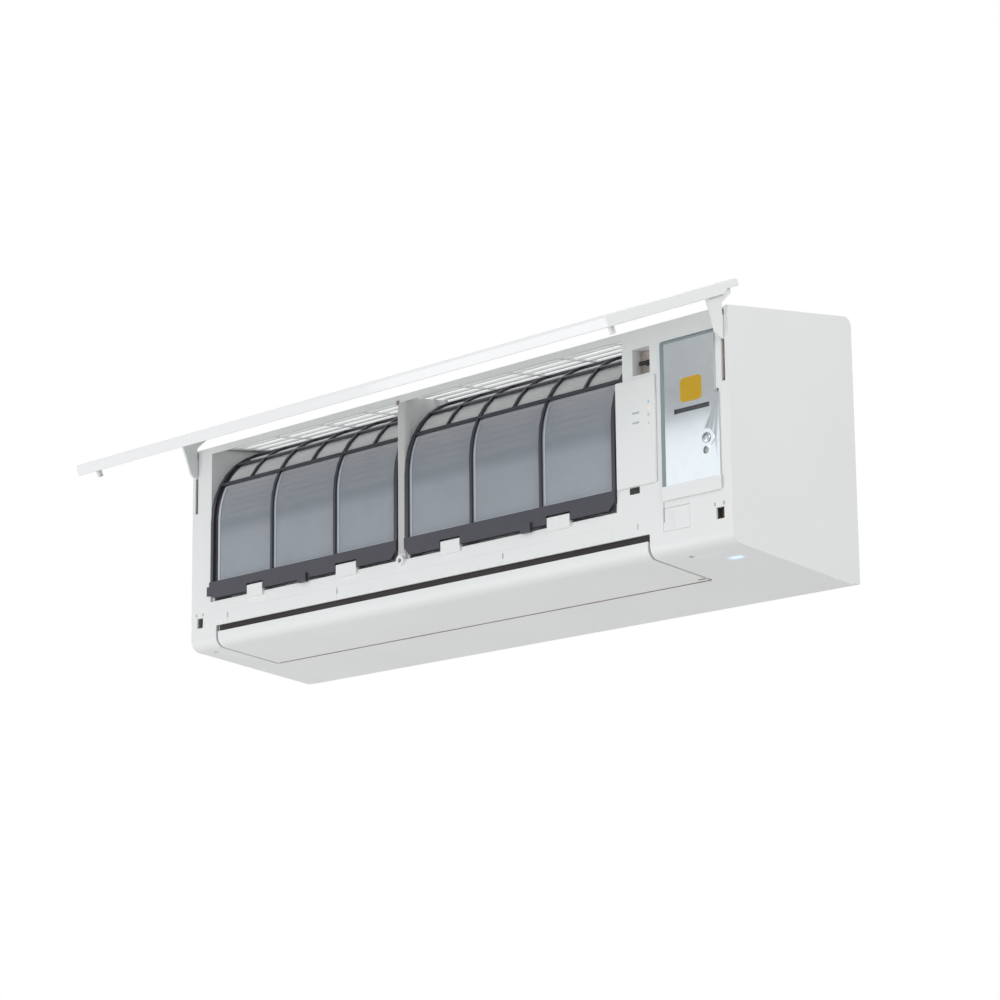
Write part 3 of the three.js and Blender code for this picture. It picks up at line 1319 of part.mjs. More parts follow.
// The metal cover steps out to the right below its middle, and turns back along its left edge.
const COVER = {
  face: -1.6,
  thickness: 1.2,
  screw: [WIDTH - 31, (ELECTRIC_BOTTOM + COVER_STEP) / 2 + 3.5],
};
const COVER_SLOT = [[WIDTH - 76, COVER_STEP - 12.5], [WIDTH - 27, COVER_STEP - 7.5]];
function electricalCover() {
  const outline = [
    [ELECTRIC_LEFT, ELECTRIC_BOTTOM],
    [ELECTRIC_RIGHT + 5, ELECTRIC_BOTTOM],
    [ELECTRIC_RIGHT + 5, COVER_STEP],
    [ELECTRIC_RIGHT, COVER_STEP],
    [ELECTRIC_RIGHT, ELECTRIC_TOP],
    [ELECTRIC_LEFT, ELECTRIC_TOP],
  ];
  const face = alongY(outline, [COVER.face, COVER.face + COVER.thickness]);
  const flange = box(
    [ELECTRIC_LEFT, ELECTRIC_LEFT + COVER.thickness],
    [COVER.face, 12],
    [ELECTRIC_BOTTOM, ELECTRIC_TOP],
  );
  const [low, high] = COVER_SLOT;
  const [x, z] = COVER.screw;
  const [front, back] = [COVER.face - 0.9, COVER.face + COVER.thickness];
  const boss = rodY(COVER.screw, [front, COVER.face + 0.5], 10, 20);
  // Below the screw, the lower lobe of its keyhole.
  return cut(
    join(face, flange, boss),
    box([low[0], high[0]], [front - 1, back + 1], [low[1], high[1]]),
    rodY([x, z], [front - 1, back + 1], 2 + GAP, 8),
    rodY([x - 2, z - 12.5], [front - 1, back + 1], 4, 12),
  );
}
piece("electrical_cover", electricalCover(), zincSteel);

piece(
  "cover_screw",
  join(
    rodY(COVER.screw, [COVER.face - 0.9 - GAP - 2.2, COVER.face - 0.9 - GAP], 5.5, 12),
    rodY(COVER.screw, [COVER.face - 2, 9], 2, 8),
  ),
  zincSteel,
);

// ---------------------------------------------------------------- display and its button

const DISPLAY = { face: -2.8, back: -GAP };
piece(
  "display_cover",
  cut(
    box([DISPLAY_LEFT, DISPLAY_RIGHT], [DISPLAY.face, DISPLAY.back], [DISPLAY_BOTTOM, DISPLAY_TOP]),
    LED_Z.map((z) => rodY([LED_X, z], [DISPLAY.face - 1, 1], 1.7, 8)),
  ),
  whitePlastic,
);

piece(
  "indicator_lenses",
  join(
    box(
      [ledWindow.x[0] + GAP, ledWindow.x[1] - GAP],
      [0, BOARD_FACE - GAP],
      [ledWindow.z[0] + GAP, ledWindow.z[1] - GAP],
    ),
    LED_Z.map((z) => rodY([LED_X, z], [DISPLAY.face - 0.2, 1], 1.4, 8)),
  ),
  lensClear,
);

piece(
  "display_board",
  box(
    [DISPLAY_LEFT + 14, DISPLAY_RIGHT - 1],
    [BOARD_FACE, BOARD_FACE + 1.6],
    [BUTTON[1] - 8, DISPLAY_TOP - 6],
  ),
  boardGreen,
);

// The push button for running the unit without its remote control, in a recess below the display.
const BUTTON_TRAVEL = 1.5;
piece(
  "manual_button",
  join(
    box(around(BUTTON[0], 13.2), [-0.6, WALL + GAP + 0.6], around(BUTTON[1], 6.2)),
    box(around(BUTTON[0], 17), [WALL + GAP, WALL + GAP + 1.4], around(BUTTON[1], 10)),
    rodY(BUTTON, [WALL + GAP, BOARD_FACE - BUTTON_TRAVEL - GAP], 1.5, 8),
  ),
  darkPlastic,
);

// The bulb that measures the room's temperature, on its clip in the pocket above the display.
piece(
  "room_sensor",
  join(
    rodX([7, POCKET.z[0] + 14], [POCKET.x[0] + 5, POCKET.x[1] - 5], 2.5, 8),
    box(around((POCKET.x[0] + POCKET.x[1]) / 2, 5), [7, POCKET_DEPTH - GAP], around(POCKET.z[0] + 14, 4)),
  ),
  blackRubber,
);

export default root;
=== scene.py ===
# Indoor unit of a split air conditioner with its front panel raised: finishes, fine shapes and studio.
import json
import math

import bmesh
import bpy
from mathutils import Matrix, Vector

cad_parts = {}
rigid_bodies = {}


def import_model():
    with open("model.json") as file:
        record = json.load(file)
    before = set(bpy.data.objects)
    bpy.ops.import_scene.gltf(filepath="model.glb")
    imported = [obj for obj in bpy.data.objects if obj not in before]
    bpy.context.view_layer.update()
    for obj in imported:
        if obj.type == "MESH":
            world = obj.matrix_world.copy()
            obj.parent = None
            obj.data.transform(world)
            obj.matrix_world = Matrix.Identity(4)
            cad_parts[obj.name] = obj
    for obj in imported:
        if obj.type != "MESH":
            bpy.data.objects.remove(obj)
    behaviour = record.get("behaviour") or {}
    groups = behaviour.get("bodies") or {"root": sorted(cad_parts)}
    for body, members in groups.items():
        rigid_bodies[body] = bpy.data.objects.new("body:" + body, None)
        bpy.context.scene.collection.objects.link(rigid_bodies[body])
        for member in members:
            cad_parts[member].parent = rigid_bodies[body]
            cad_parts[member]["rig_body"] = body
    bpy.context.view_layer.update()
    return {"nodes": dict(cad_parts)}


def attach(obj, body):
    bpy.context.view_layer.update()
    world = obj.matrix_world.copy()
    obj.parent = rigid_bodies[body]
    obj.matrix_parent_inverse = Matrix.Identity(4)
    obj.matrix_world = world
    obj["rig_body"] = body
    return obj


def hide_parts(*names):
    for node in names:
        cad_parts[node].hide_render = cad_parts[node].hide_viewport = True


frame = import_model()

# ---------------------------------------------------------------- places and sizes

# Places below are in millimetres from the casing's lower left front corner, seen from the room:
# x to the right, y back towards the wall, z up.
MM = 0.001
CASING_CORNER = Vector((-442.5, -197, -122.5)) * MM

FILTER_CENTRE = (100, 152)  # y and z of the arc that both filters follow
NET_RADIUS = 98
NET_BOTTOM = 76
NET_ARC = 78  # degrees of the curve that the net covers
NET_SPANS = {"left": (43.3, 371.7), "right": (396.3, 716.7)}
THREAD_PITCH = 0.9  # coarser than a real net's, which is usually nearer 0.5
THREAD = 0.4
UPRIGHTS = {"left": (40.5, 153.39, 267.95, 374.5), "right": (393.5, 499.45, 609.31, 719.5)}
UPRIGHT_HALF = (2.5, 1.8, 1.8, 2.5)
# The frames are painted darker between these heights, as shade on their thin ribs.
RIB_HEIGHTS = (79, 204)  # between these heights the frames are thin ribs
# The net's tone at each height, tuned to the photograph, in place of what shows through it there:
# painted shade over the coil's joint and painted light on the curve.
NET_TONE_AND_PAINTED_LIGHT = ((132, "b9bfc7"), (146, "a3aab2"), (172, "abb1b8"), (192, "bdbfc4"), (202, "e6e8e7"))
EDGE_STRIP = 6.0
HEM_FOOT = 78.7
HEM_GAP = 0.15
HEM_RIGHT_OF_RIB = 3.6
HEM = 2.0

COIL_SPAN = (49, 725)
FIN_PITCH = 2.0  # coarser than a real coil's, which is usually nearer 1.3
FIN = 0.25
TUBE_RADIUS = 3.5
TUBE_PAIRS = 3
TUBE_DEPTHS = (0.27, 0.73)  # shares of a slab's thickness, in from its outer face
RETURN_REACH = 9
RETURN_BEND = 5
# Each slab of the coil by three corners, as y and z: low and high on its outer face, and low on
# its inner face.
SLABS = {
    "coil_front_lower": ((30, 73), (30, 155), (52, 73)),
    "coil_front_upper": ((34, 160), (88, 237), (52.01, 147.37)),
    "coil_rear": ((167, 158), (117, 237), (148.41, 146.23)),
}

LED_X = 773.5
LED_FACE = -2.8  # y of the display cover's front
BOARD_FACE = 61.9  # y of the control board's front
CAPACITOR_LEFT = 835
CAPACITOR_FOOT = 128

UNDERSIDE_FALL = 24 / 197  # the casing's underside drops 24 mm over its depth

GAS_ROUTE = (
    (727.2, 136.98, 194.32), (751.2, 136.98, 194.32), (854, 160, 190.32), (854, 174, 8),
    (522.5, 174, 8),
)
LIQUID_ROUTE = (
    (727.2, 128.43, 188.91), (747.2, 128.43, 188.91), (837, 165, 170.91), (837, 174, 26),
    (560.5, 174, 26),
)
BEND_STEPS = 8  # straight lengths round each bend of a tube

CREASE = math.radians(33)  # edges sharper than this stay sharp
FLAT = math.radians(0.5)  # faces that meet within this are one flat face


def at(x, y, z):
    """A place on the casing, in metres in the shared frame."""
    return CASING_CORNER + Vector((x, y, z)) * MM


def cells(size):
    """How many pattern cells of this many millimetres lie in a metre."""
    return 1 / (size * MM)


def colour(code):
    """An sRGB hex code as linear red, green, blue and alpha."""
    values = [int(code[i : i + 2], 16) / 255 for i in (0, 2, 4)]
    linear = [v / 12.92 if v <= 0.04045 else ((v + 0.055) / 1.055) ** 2.4 for v in values]
    return (*linear, 1)


# ---------------------------------------------------------------- materials


def add(tree, kind, inputs=None, **settings):
    """Adds a node, sets it up, and sets or links its inputs, each by its name or number."""
    made = tree.nodes.new(kind)
    for name, value in settings.items():
        setattr(made, name, value)
    for name, value in (inputs or {}).items():
        if isinstance(value, bpy.types.NodeSocket):
            tree.links.new(value, made.inputs[name])
        else:
            made.inputs[name].default_value = value
    return made


def blank(name, **constants):
    """A new material, with its tree, shader and object coordinates; constants go on the shader."""
    made = bpy.data.materials.new(name)
    made.use_nodes = True
    tree = made.node_tree
    shader = tree.nodes["Principled BSDF"]
    for socket, value in constants.items():
        shader.inputs[socket.replace("_", " ")].default_value = value
    place = add(tree, "ShaderNodeTexCoord").outputs["Object"]
    return made, tree, shader, place


def moulded(name, tone, shade, roughness, grain=0.7, depth=0.012, **constants):
    """Injection-moulded plastic: even colour that drifts a little, a fine eroded grain, soft gloss."""
    made, tree, shader, place = blank(name, **constants)
    drift = add(tree, "ShaderNodeTexNoise", {"Vector": place, "Scale": cells(120), "Detail": 3.0})
    mix = add(tree, "ShaderNodeMix", {0: drift.outputs["Fac"], 6: colour(tone), 7: colour(shade)},
              data_type="RGBA")
    tree.links.new(mix.outputs[2], shader.inputs["Base Color"])
    gloss = add(tree, "ShaderNodeMapRange", {"Value": drift.outputs["Fac"], "From Min": 0.3,
                "From Max": 0.7, "To Min": roughness - 0.04, "To Max": roughness + 0.05})
    tree.links.new(gloss.outputs["Result"], shader.inputs["Roughness"])
    eroded = add(tree, "ShaderNodeTexNoise", {"Vector": place, "Scale": cells(grain), "Detail": 2.0})
    bump = add(tree, "ShaderNodeBump", {"Height": eroded.outputs["Fac"], "Strength": 0.35,
               "Distance": depth * MM})
    tree.links.new(bump.outputs["Normal"], shader.inputs["Normal"])
    return made


def galvanised(name, tone, shade, roughness, spangle, uneven):
    """Hot-dip galvanised sheet: flat zinc crystals a few millimetres wide, each with its own gloss."""
    made, tree, shader, place = blank(name, Metallic=1.0)
    crystal = add(tree, "ShaderNodeTexVoronoi", {"Vector": place, "Scale": cells(spangle),
                  "Randomness": 1.0})
    tint = add(tree, "ShaderNodeSeparateColor", {"Color": crystal.outputs["Color"]})
    mix = add(tree, "ShaderNodeMix", {0: tint.outputs["Red"], 6: colour(tone), 7: colour(shade)},
              data_type="RGBA")
    tree.links.new(mix.outputs[2], shader.inputs["Base Color"])
    gloss = add(tree, "ShaderNodeMapRange", {"Value": tint.outputs["Green"],
                "To Min": roughness - uneven, "To Max": roughness + uneven})
    tree.links.new(gloss.outputs["Result"], shader.inputs["Roughness"])
    rolled = add(tree, "ShaderNodeTexNoise", {"Vector": place, "Scale": cells(1.5), "Detail": 2.0})
    bump = add(tree, "ShaderNodeBump", {"Height": rolled.outputs["Fac"], "Strength": 0.12,
               "Distance": 0.01 * MM})
    tree.links.new(bump.outputs["Normal"], shader.inputs["Normal"])
    return made


def woven(name, tones, roughness):
    """Net of drawn thread, whose tone follows what stands behind it at each height on the casing, as
    painted light and shade.
    """
    made, tree, shader, place = blank(name, Roughness=roughness)
    parts = add(tree, "ShaderNodeSeparateXYZ", {"Vector": place})
    low, high = tones[0][0], tones[-1][0]
    rise = add(tree, "ShaderNodeMapRange", {"Value": parts.outputs["Z"],
               "From Min": at(0, 0, low).z, "From Max": at(0, 0, high).z})
    ramp = add(tree, "ShaderNodeValToRGB", {"Fac": rise.outputs["Result"]})
    stops = ramp.color_ramp.elements
    for i, (z, tone) in enumerate(tones):
        stop = stops[i] if i < 2 else stops.new(1)
        stop.position = (z - low) / (high - low)
        stop.color = colour(tone)
    cloud = add(tree, "ShaderNodeTexNoise", {"Vector": place, "Scale": cells(40), "Detail": 2.0})
    uneven = add(tree, "ShaderNodeMapRange", {"Value": cloud.outputs["Fac"], "To Min": 0.94,
                 "To Max": 1.06})
    mix = add(tree, "ShaderNodeVectorMath", {0: ramp.outputs["Color"],
              "Scale": uneven.outputs["Result"]}, operation="SCALE")
    tree.links.new(mix.outputs["Vector"], shader.inputs["Base Color"])
    return made


def lit_skin(name, centre, reach, white, tone, strength):
    """Thin white moulding with a lamp behind it, whose light fades out from a place."""
    made, tree, shader, place = blank(name, Roughness=0.42, Emission_Strength=strength)
    apart = add(tree, "ShaderNodeVectorMath", {0: place, 1: at(*centre)}, operation="SUBTRACT")
    shape = add(tree, "ShaderNodeVectorMath", {0: apart.outputs["Vector"],
                1: [cells(r) for r in reach]}, operation="MULTIPLY")
    far = add(tree, "ShaderNodeVectorMath", {0: shape.outputs["Vector"]}, operation="LENGTH")
    fade = add(tree, "ShaderNodeMapRange", {"Value": far.outputs["Value"], "To Min": 1.0,
               "To Max": 0.0}, interpolation_type="SMOOTHSTEP")
    glowing = add(tree, "ShaderNodeMix", {0: fade.outputs["Result"], 6: colour("000000"),
                  7: colour(tone)}, data_type="RGBA")
    tree.links.new(glowing.outputs[2], shader.inputs["Emission Color"])
    shader.inputs["Base Color"].default_value = colour(white)
    return made


def drawn_metal(name, tone, shade, roughness, streak=(1, 1, 1)):
    """Rolled or drawn metal: tone and gloss vary in streaks along the way it was worked."""
    made, tree, shader, place = blank(name, Metallic=1.0)
    along = add(tree, "ShaderNodeMapping", {"Vector": place, "Scale": streak})
    streaks = add(tree, "ShaderNodeTexNoise", {"Vector": along.outputs["Vector"],
                  "Scale": cells(3), "Detail": 4.0})
    mix = add(tree, "ShaderNodeMix", {0: streaks.outputs["Fac"], 6: colour(tone), 7: colour(shade)},
              data_type="RGBA")
    tree.links.new(mix.outputs[2], shader.inputs["Base Color"])
    gloss = add(tree, "ShaderNodeMapRange", {"Value": streaks.outputs["Fac"], "From Min": 0.3,
                "From Max": 0.7, "To Min": roughness - 0.06, "To Max": roughness + 0.08})
    tree.links.new(gloss.outputs["Result"], shader.inputs["Roughness"])
    return made


def bead_foam():
    """Expanded polystyrene: white beads 3 mm wide pressed together, with a dull dimpled skin."""
    made, tree, shader, place = blank("expanded_polystyrene", Roughness=0.75)
    beads = add(tree, "ShaderNodeTexVoronoi", {"Vector": place, "Scale": cells(3)},
                feature="DISTANCE_TO_EDGE")
    seam = add(tree, "ShaderNodeMapRange", {"Value": beads.outputs["Distance"], "From Max": 0.12})
    mix = add(tree, "ShaderNodeMix", {0: seam.outputs["Result"], 6: colour("cfcfca"),
              7: colour("ebebe7")}, data_type="RGBA")
    tree.links.new(mix.outputs[2], shader.inputs["Base Color"])
    bump = add(tree, "ShaderNodeBump", {"Height": seam.outputs["Result"], "Strength": 0.5,
               "Distance": 0.2 * MM})
    tree.links.new(bump.outputs["Normal"], shader.inputs["Normal"])
    return made


def glow(name, tone, strength):
    """Clear tinted plastic with a lamp behind it, a little brighter where the moulding is thick."""
    made, tree, shader, place = blank(name, Roughness=0.25, Emission_Strength=strength)
    cloud = add(tree, "ShaderNodeTexNoise", {"Vector": place, "Scale": cells(4), "Detail": 1.0})
    mix = add(tree, "ShaderNodeMix", {0: cloud.outputs["Fac"], 6: colour(tone), 7: colour("ffffff")},
              data_type="RGBA")
    tree.links.new(mix.outputs[2], shader.inputs["Base Color"])
    shader.inputs["Emission Color"].default_value = colour(tone)
    return made


# ABS moulded in an eroded tool: warm white with a soft, even gloss.
CASING_WHITE = moulded("abs_white_fine_grain", "eff1f1", "ebedec", 0.42)
# The same on the intake's thin bars, with a little glow added to bring them up to the photograph's
# brightness. That they let daylight through is a guess.
GRILLE_WHITE = moulded("abs_white_thin_bars", "eff1f1", "ebedec", 0.42, Emission_Strength=0.1)
# ABS from a polished tool: the same white, smoother and with a clear reflection at a low angle.
PANEL_WHITE = moulded("abs_white_polished", "f4f5f6", "f0f1f2", 0.2, depth=0.003, Coat_Weight=0.35)
# The panel's back is left as it comes from the tool, greyer and matt, and its grey is partly painted
# shade under the raised panel.
PANEL_UNDERSIDE_PAINTED_SHADE = moulded("abs_unpolished_painted_shade", "c6c8c9", "c0c2c3", 0.55)
# The bar between the filters: light grey and a little matt, greyer than the casing's white.
BAR_WHITE = moulded("bar_light_grey", "c9c9c6", "c3c4c2", 0.5)
# Moulded polystyrene of the chassis and clips: plain mid grey with a dull gloss.
GREY_PLASTIC = moulded("polystyrene_grey", "b9bcbb", "b0b3b3", 0.5)
# Filled polypropylene: charcoal with a violet cast and a low sheen.
DARK_PLASTIC = moulded("polypropylene_charcoal", "3e3e48", "36363f", 0.42)
# The same plastic on the filters' thin ribs, made darker as painted shade, so that they look nearly
# black against the net.
RIB_PAINTED_SHADE = moulded("polypropylene_painted_shade", "26252a", "201f24", 0.42)
# Black ABS of the button and the catch's foot: deep, with a soft highlight.
BLACK_PLASTIC = moulded("abs_black", "1b1b1d", "161618", 0.45)
# Glass-filled styrene of the fan: slate grey, dulled by the fibres.
FAN_PLASTIC = moulded("glass_filled_styrene", "4a4e52", "404347", 0.5)
# Polyester thread woven into a net: grey-blue and matt, with painted shade at the coil's joint and
# painted light on the curve.
PAINTED_LIGHT_NET = woven("polyester_net_painted_light", NET_TONE_AND_PAINTED_LIGHT, 0.55)
# Welded hem around each cell of the net: the same thread pressed flat, so paler and smoother.
NET_HEM = moulded("polypropylene_hem", "c8cfd7", "c0c7d0", 0.45)
# Nitrile rubber, moulded: soft black with almost no highlight.
RUBBER = moulded("nitrile_rubber", "202022", "2a2a2c", 0.75, grain=0.5)
# Grey-green strips round the metal cover, dull and finely pitted: painted shade for the gaps along its
# edges.
COVER_GAP_SHADE = moulded("grey_green_painted_gap_shade", "939ea1", "899598", 0.85, grain=0.9, depth=0.05)
# A dark brown-grey strip in the slit over the flap, with no gloss at all: painted shade for the slit.
SLIT_SHADE = moulded("dark_painted_slit_shade", "423f41", "393638", 0.95, grain=0.5, depth=0.12)
# Dull brown metal of the springs that catch the panel: its brown is painted shade for the latch holes.
LATCH_HOLE_SHADE = drawn_metal("dull_brown_painted_hole_shade", "8a6f5b", "755c4a", 0.5)
# Unpainted polystyrene behind the flap and on the bar's clip: brown-grey and flat. On the strip along
# the outlet its brown is painted shade for the gap behind the flap.
TAUPE_AND_GAP_SHADE = moulded("taupe_plastic_and_gap_shade", "a1968f", "93877f", 0.6)
# The same at the back of the sensor's pocket, made paler to match how light it is in the photograph:
# painted light in the recess.
POCKET_PAINTED_LIGHT = moulded("pocket_taupe_painted_light", "c8bcb4", "b9ada5", 0.6)
# The same in the panel arms' slots, which read as a warm shadow.
SLOT_BROWN = moulded("polystyrene_warm_grey", "e6d6cd", "dccbc1", 0.6)
# Compression-moulded polyester around the fan motor: near black with a dry surface.
MOTOR_RESIN = moulded("bulk_moulded_polyester", "33343a", "2b2c31", 0.55)
# Glass and epoxy board under a clear resist: green and glossy.
BOARD = moulded("glass_epoxy_board", "2f6b45", "29603d", 0.4)
# Shrunk vinyl sleeve of the capacitors: blue-black and shiny.
CAPACITOR = moulded("pvc_sleeve_blue_black", "23283a", "1d2130", 0.3)
# Moulded polyester case of a relay: charcoal with a crisp highlight.
RELAY = moulded("pbt_relay_case", "3a3c40", "313337", 0.4)
# Pressed phenolic of the terminal block: black with a brown cast.
BLOCK = moulded("phenolic_terminal", "2b2a30", "232227", 0.45)
# Blank vinyl sticker: matt amber, the one strong colour on the front.
STICKER = moulded("vinyl_amber", "cda30a", "c19807", 0.5, grain=2.0)
# Pad-printed ink on the display's cover: two faint grey bars.
INK = moulded("pad_printed_grey_ink", "b7bfc8", "b1b9c2", 0.6)
# Skin-passed zinc-coated sheet: bright, its spangle rolled out, so it mirrors the panel as a haze.
ZINC = galvanised("galvanised_steel", "e1e6e8", "dde3e5", 0.22, spangle=12.0, uneven=0.012)
# Hot-dip galvanised sheet of the wall plate: duller, with the spangle left to show.
PLATE_ZINC = galvanised("galvanised_steel_spangled", "bcc2c4", "b2b8bb", 0.38, spangle=7.0,
                        uneven=0.025)
# Zinc-plated steel of the screws and motor cans: clean, bright and slightly blue.
ZINC_PLATE = galvanised("zinc_plated_screw", "c2c5c8", "b4b8bb", 0.28, spangle=2.0, uneven=0.05)
# Rolled aluminium foil of the fins: pale silver with a satin sheen.
FINS = drawn_metal("aluminium_fin_stock", "c3c9cd", "b4babe", 0.36)
# Drawn copper tube: warm, with long faint streaks where it went through the die.
COPPER = drawn_metal("drawn_copper", "b87345", "a9683f", 0.3, streak=(0.2, 1, 1))
# Turned brass of the flare nuts and the fan's bearing: yellow and bright.
BRASS = drawn_metal("turned_brass", "c9a552", "bd9a4a", 0.28)
# Steam-moulded bead foam of the drain pan: white and matt, with its beads showing.
FOAM = bead_foam()
# Clear blue polycarbonate over the running lamp, lit: a cold spot on the underside.
LAMP_BLUE = glow("polycarbonate_blue_lit", "9ccbff", 0.75)
# The casing's own white, thin enough that the lamp's light spreads a little around the lens.
LAMP_SPILL = lit_skin("abs_white_lit_from_behind", (847, 45.6, -5.6), (15, 7, 6), "eff1f1", "8fc4ff",
                      0.9)
# Smoked polycarbonate of the light guide: grey and glossy, unseen but for its edges.
LENS_BODY = moulded("polycarbonate_smoke", "a9adb4", "9fa3aa", 0.15)
# Tinted polycarbonate domes by their height on the casing: only the orange one is lit clearly.
LED_TONES = (
    (165, glow("led_lens_blue", "6c7890", 0.15)),
    (158.3, glow("led_lens_orange", "f0ad88", 0.33)),
    (151.5, glow("led_lens_violet", "777083", 0.1)),
    (143.5, glow("led_lens_green", "b9c08f", 0.12)),
)

# ---------------------------------------------------------------- making pieces


def ride(made, body, finish, replaces=()):
    """Gives a piece its finish, its body and the CAD nodes that it stands for."""
    made.data.materials.clear()
    for each in finish if isinstance(finish, (list, tuple)) else [finish]:
        made.data.materials.append(each)
    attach(made, body)
    if replaces:
        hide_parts(*replaces)
    return made


def smooth(mesh):
    """Smooth faces, with edges kept sharp past an angle."""
    mesh.shade_smooth()
    mesh.set_sharp_from_angle(angle=CREASE)


def piece(name, bm, body, finish, replaces=()):
    """A bmesh as an object in place."""
    bmesh.ops.recalc_face_normals(bm, faces=bm.faces)
    mesh = bpy.data.meshes.new(name)
    bm.to_mesh(mesh)
    bm.free()
    smooth(mesh)
    made = bpy.data.objects.new(name, mesh)
    bpy.context.scene.collection.objects.link(made)
    return ride(made, body, finish, replaces)


def bevelled(made, width, segments=2):
    """Rounds a piece's edges, as moulding, casting or pressing leaves them."""
    bevel = made.modifiers.new("rounded_edges", "BEVEL")
    bevel.width = width * MM
    bevel.segments = segments
    bevel.limit_method = "ANGLE"
    bevel.angle_limit = CREASE
    bevel.harden_normals = True
    return made


def copied(node):
    """A CAD node's own shape as a bmesh, with its corners merged and its flat faces whole."""
    bm = bmesh.new()
    bm.from_mesh(frame["nodes"][node].data)
    bmesh.ops.remove_doubles(bm, verts=bm.verts, dist=0.002 * MM)
    bmesh.ops.dissolve_limit(bm, angle_limit=FLAT, verts=bm.verts, edges=bm.edges)
    return bm


def body_of(node):
    """The body that a CAD node rides on."""
    return frame["nodes"][node]["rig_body"]


def softened(node, width, finish, segments=2, paint=None):
    """A CAD node's own shape with its edges rounded. Paint picks each face's finish."""
    bm = copied(node)
    if paint:
        for face in bm.faces:
            place = (face.calc_center_median() - CASING_CORNER) / MM
            face.material_index = paint(place, face.normal)
    mesh = bpy.data.meshes.new(node + "_skin")
    bm.to_mesh(mesh)
    bm.free()
    smooth(mesh)
    made = bpy.data.objects.new(node + "_skin", mesh)
    bpy.context.scene.collection.objects.link(made)
    ride(made, body_of(node), finish, [node])
    if width:
        bevelled(made, width, segments)
    return made


def block(bm, low, high):
    """Adds a box between two places on the casing."""
    a, b = at(*low), at(*high)
    size = Matrix.Diagonal((*(b - a), 1))
    return bmesh.ops.create_cube(bm, size=1, matrix=Matrix.Translation((a + b) / 2) @ size)["verts"]


def blocks(name, spans, finish, width=0.2):
    """Plain pieces of the casing, each given by its two far corners, with rounded edges."""
    bm = bmesh.new()
    for low, high in spans:
        block(bm, low, high)
    return bevelled(piece(name, bm, "casing", finish), width)


def turned(profile, centre, facing, steps=32):
    """A profile of radius and height, spun about an axis through a place on the casing."""
    bm = bmesh.new()
    verts = [bm.verts.new(Vector((r, 0, z)) * MM) for r, z in profile]
    edges = [bm.edges.new(pair) for pair in zip(verts, verts[1:])]
    bmesh.ops.spin(bm, geom=verts + edges, cent=(0, 0, 0), axis=(0, 0, 1), angle=math.tau, steps=steps,
                   use_merge=True)
    bmesh.ops.remove_doubles(bm, verts=bm.verts, dist=0.001 * MM)
    bmesh.ops.transform(bm, matrix=aimed(centre, facing), verts=bm.verts)
    return bm


def aimed(centre, facing):
    """Moves a shape from the origin to a place on the casing and turns its z axis to face a way."""
    turn = Vector(facing).to_track_quat("Z", "Y").to_matrix().to_4x4()
    return Matrix.Translation(at(*centre)) @ turn


def rounded(corners, bend):
    """The places along a polyline whose corners are turned at a radius."""
    corners = [Vector(corner) for corner in corners]
    path = corners[:1]
    for before, corner, after in zip(corners, corners[1:], corners[2:]):
        come = (before - corner).normalized()
        go = (after - corner).normalized()
        half = come.angle(go) / 2
        centre = corner + (come + go).normalized() * bend / math.sin(half)
        start = corner + come * bend / math.tan(half) - centre
        axis = start.cross(corner + go * bend / math.tan(half) - centre).normalized()
        for i in range(BEND_STEPS + 1):
            turn = Matrix.Rotation((math.pi - 2 * half) * i / BEND_STEPS, 3, axis)
            path.append(centre + turn @ start)
    return path + corners[-1:]


def tube(bm, path, radius, sides=16):
    """A round tube along a path: a ring is extruded from place to place, and both ends are closed."""
    steps = [b - a for a, b in zip(path, path[1:])]
    middles = [a.normalized() + b.normalized() for a, b in zip(steps, steps[1:])]
    facings = [steps[0], *middles, steps[-1]]
    made = bmesh.ops.create_circle(bm, segments=sides, radius=radius * MM,
                                   matrix=aimed(path[0], steps[0]))
    ring = list(dict.fromkeys(edge for vert in made["verts"] for edge in vert.link_edges))
    ends = list(ring)
    for i, step in enumerate(steps):
        grown = bmesh.ops.extrude_edge_only(bm, edges=ring)["geom"]
        verts = [g for g in grown if isinstance(g, bmesh.types.BMVert)]
        ring = [g for g in grown if isinstance(g, bmesh.types.BMEdge)]
        turn = facings[i].rotation_difference(facings[i + 1]).to_matrix()
        bmesh.ops.rotate(bm, cent=at(*path[i]), matrix=turn, verts=verts)
        bmesh.ops.translate(bm, vec=step * MM, verts=verts)
    bmesh.ops.holes_fill(bm, edges=ends + ring)


def cut_by(made, tool):
    """Cuts a piece by a scratch mesh, which is thrown away."""
    mesh = bpy.data.meshes.new("tool")
    tool.to_mesh(mesh)
    tool.free()
    other = bpy.data.objects.new("tool", mesh)
    bpy.context.scene.collection.objects.link(other)
    boolean = made.modifiers.new("recess", "BOOLEAN")
    boolean.operation = "DIFFERENCE"
    boolean.object = other
    boolean.use_self = True
    cut = bpy.data.meshes.new_from_object(made.evaluated_get(bpy.context.evaluated_depsgraph_get()))
    made.modifiers.remove(boolean)
    made.data = cut
    bpy.data.objects.remove(other)
    smooth(made.data)
    return made


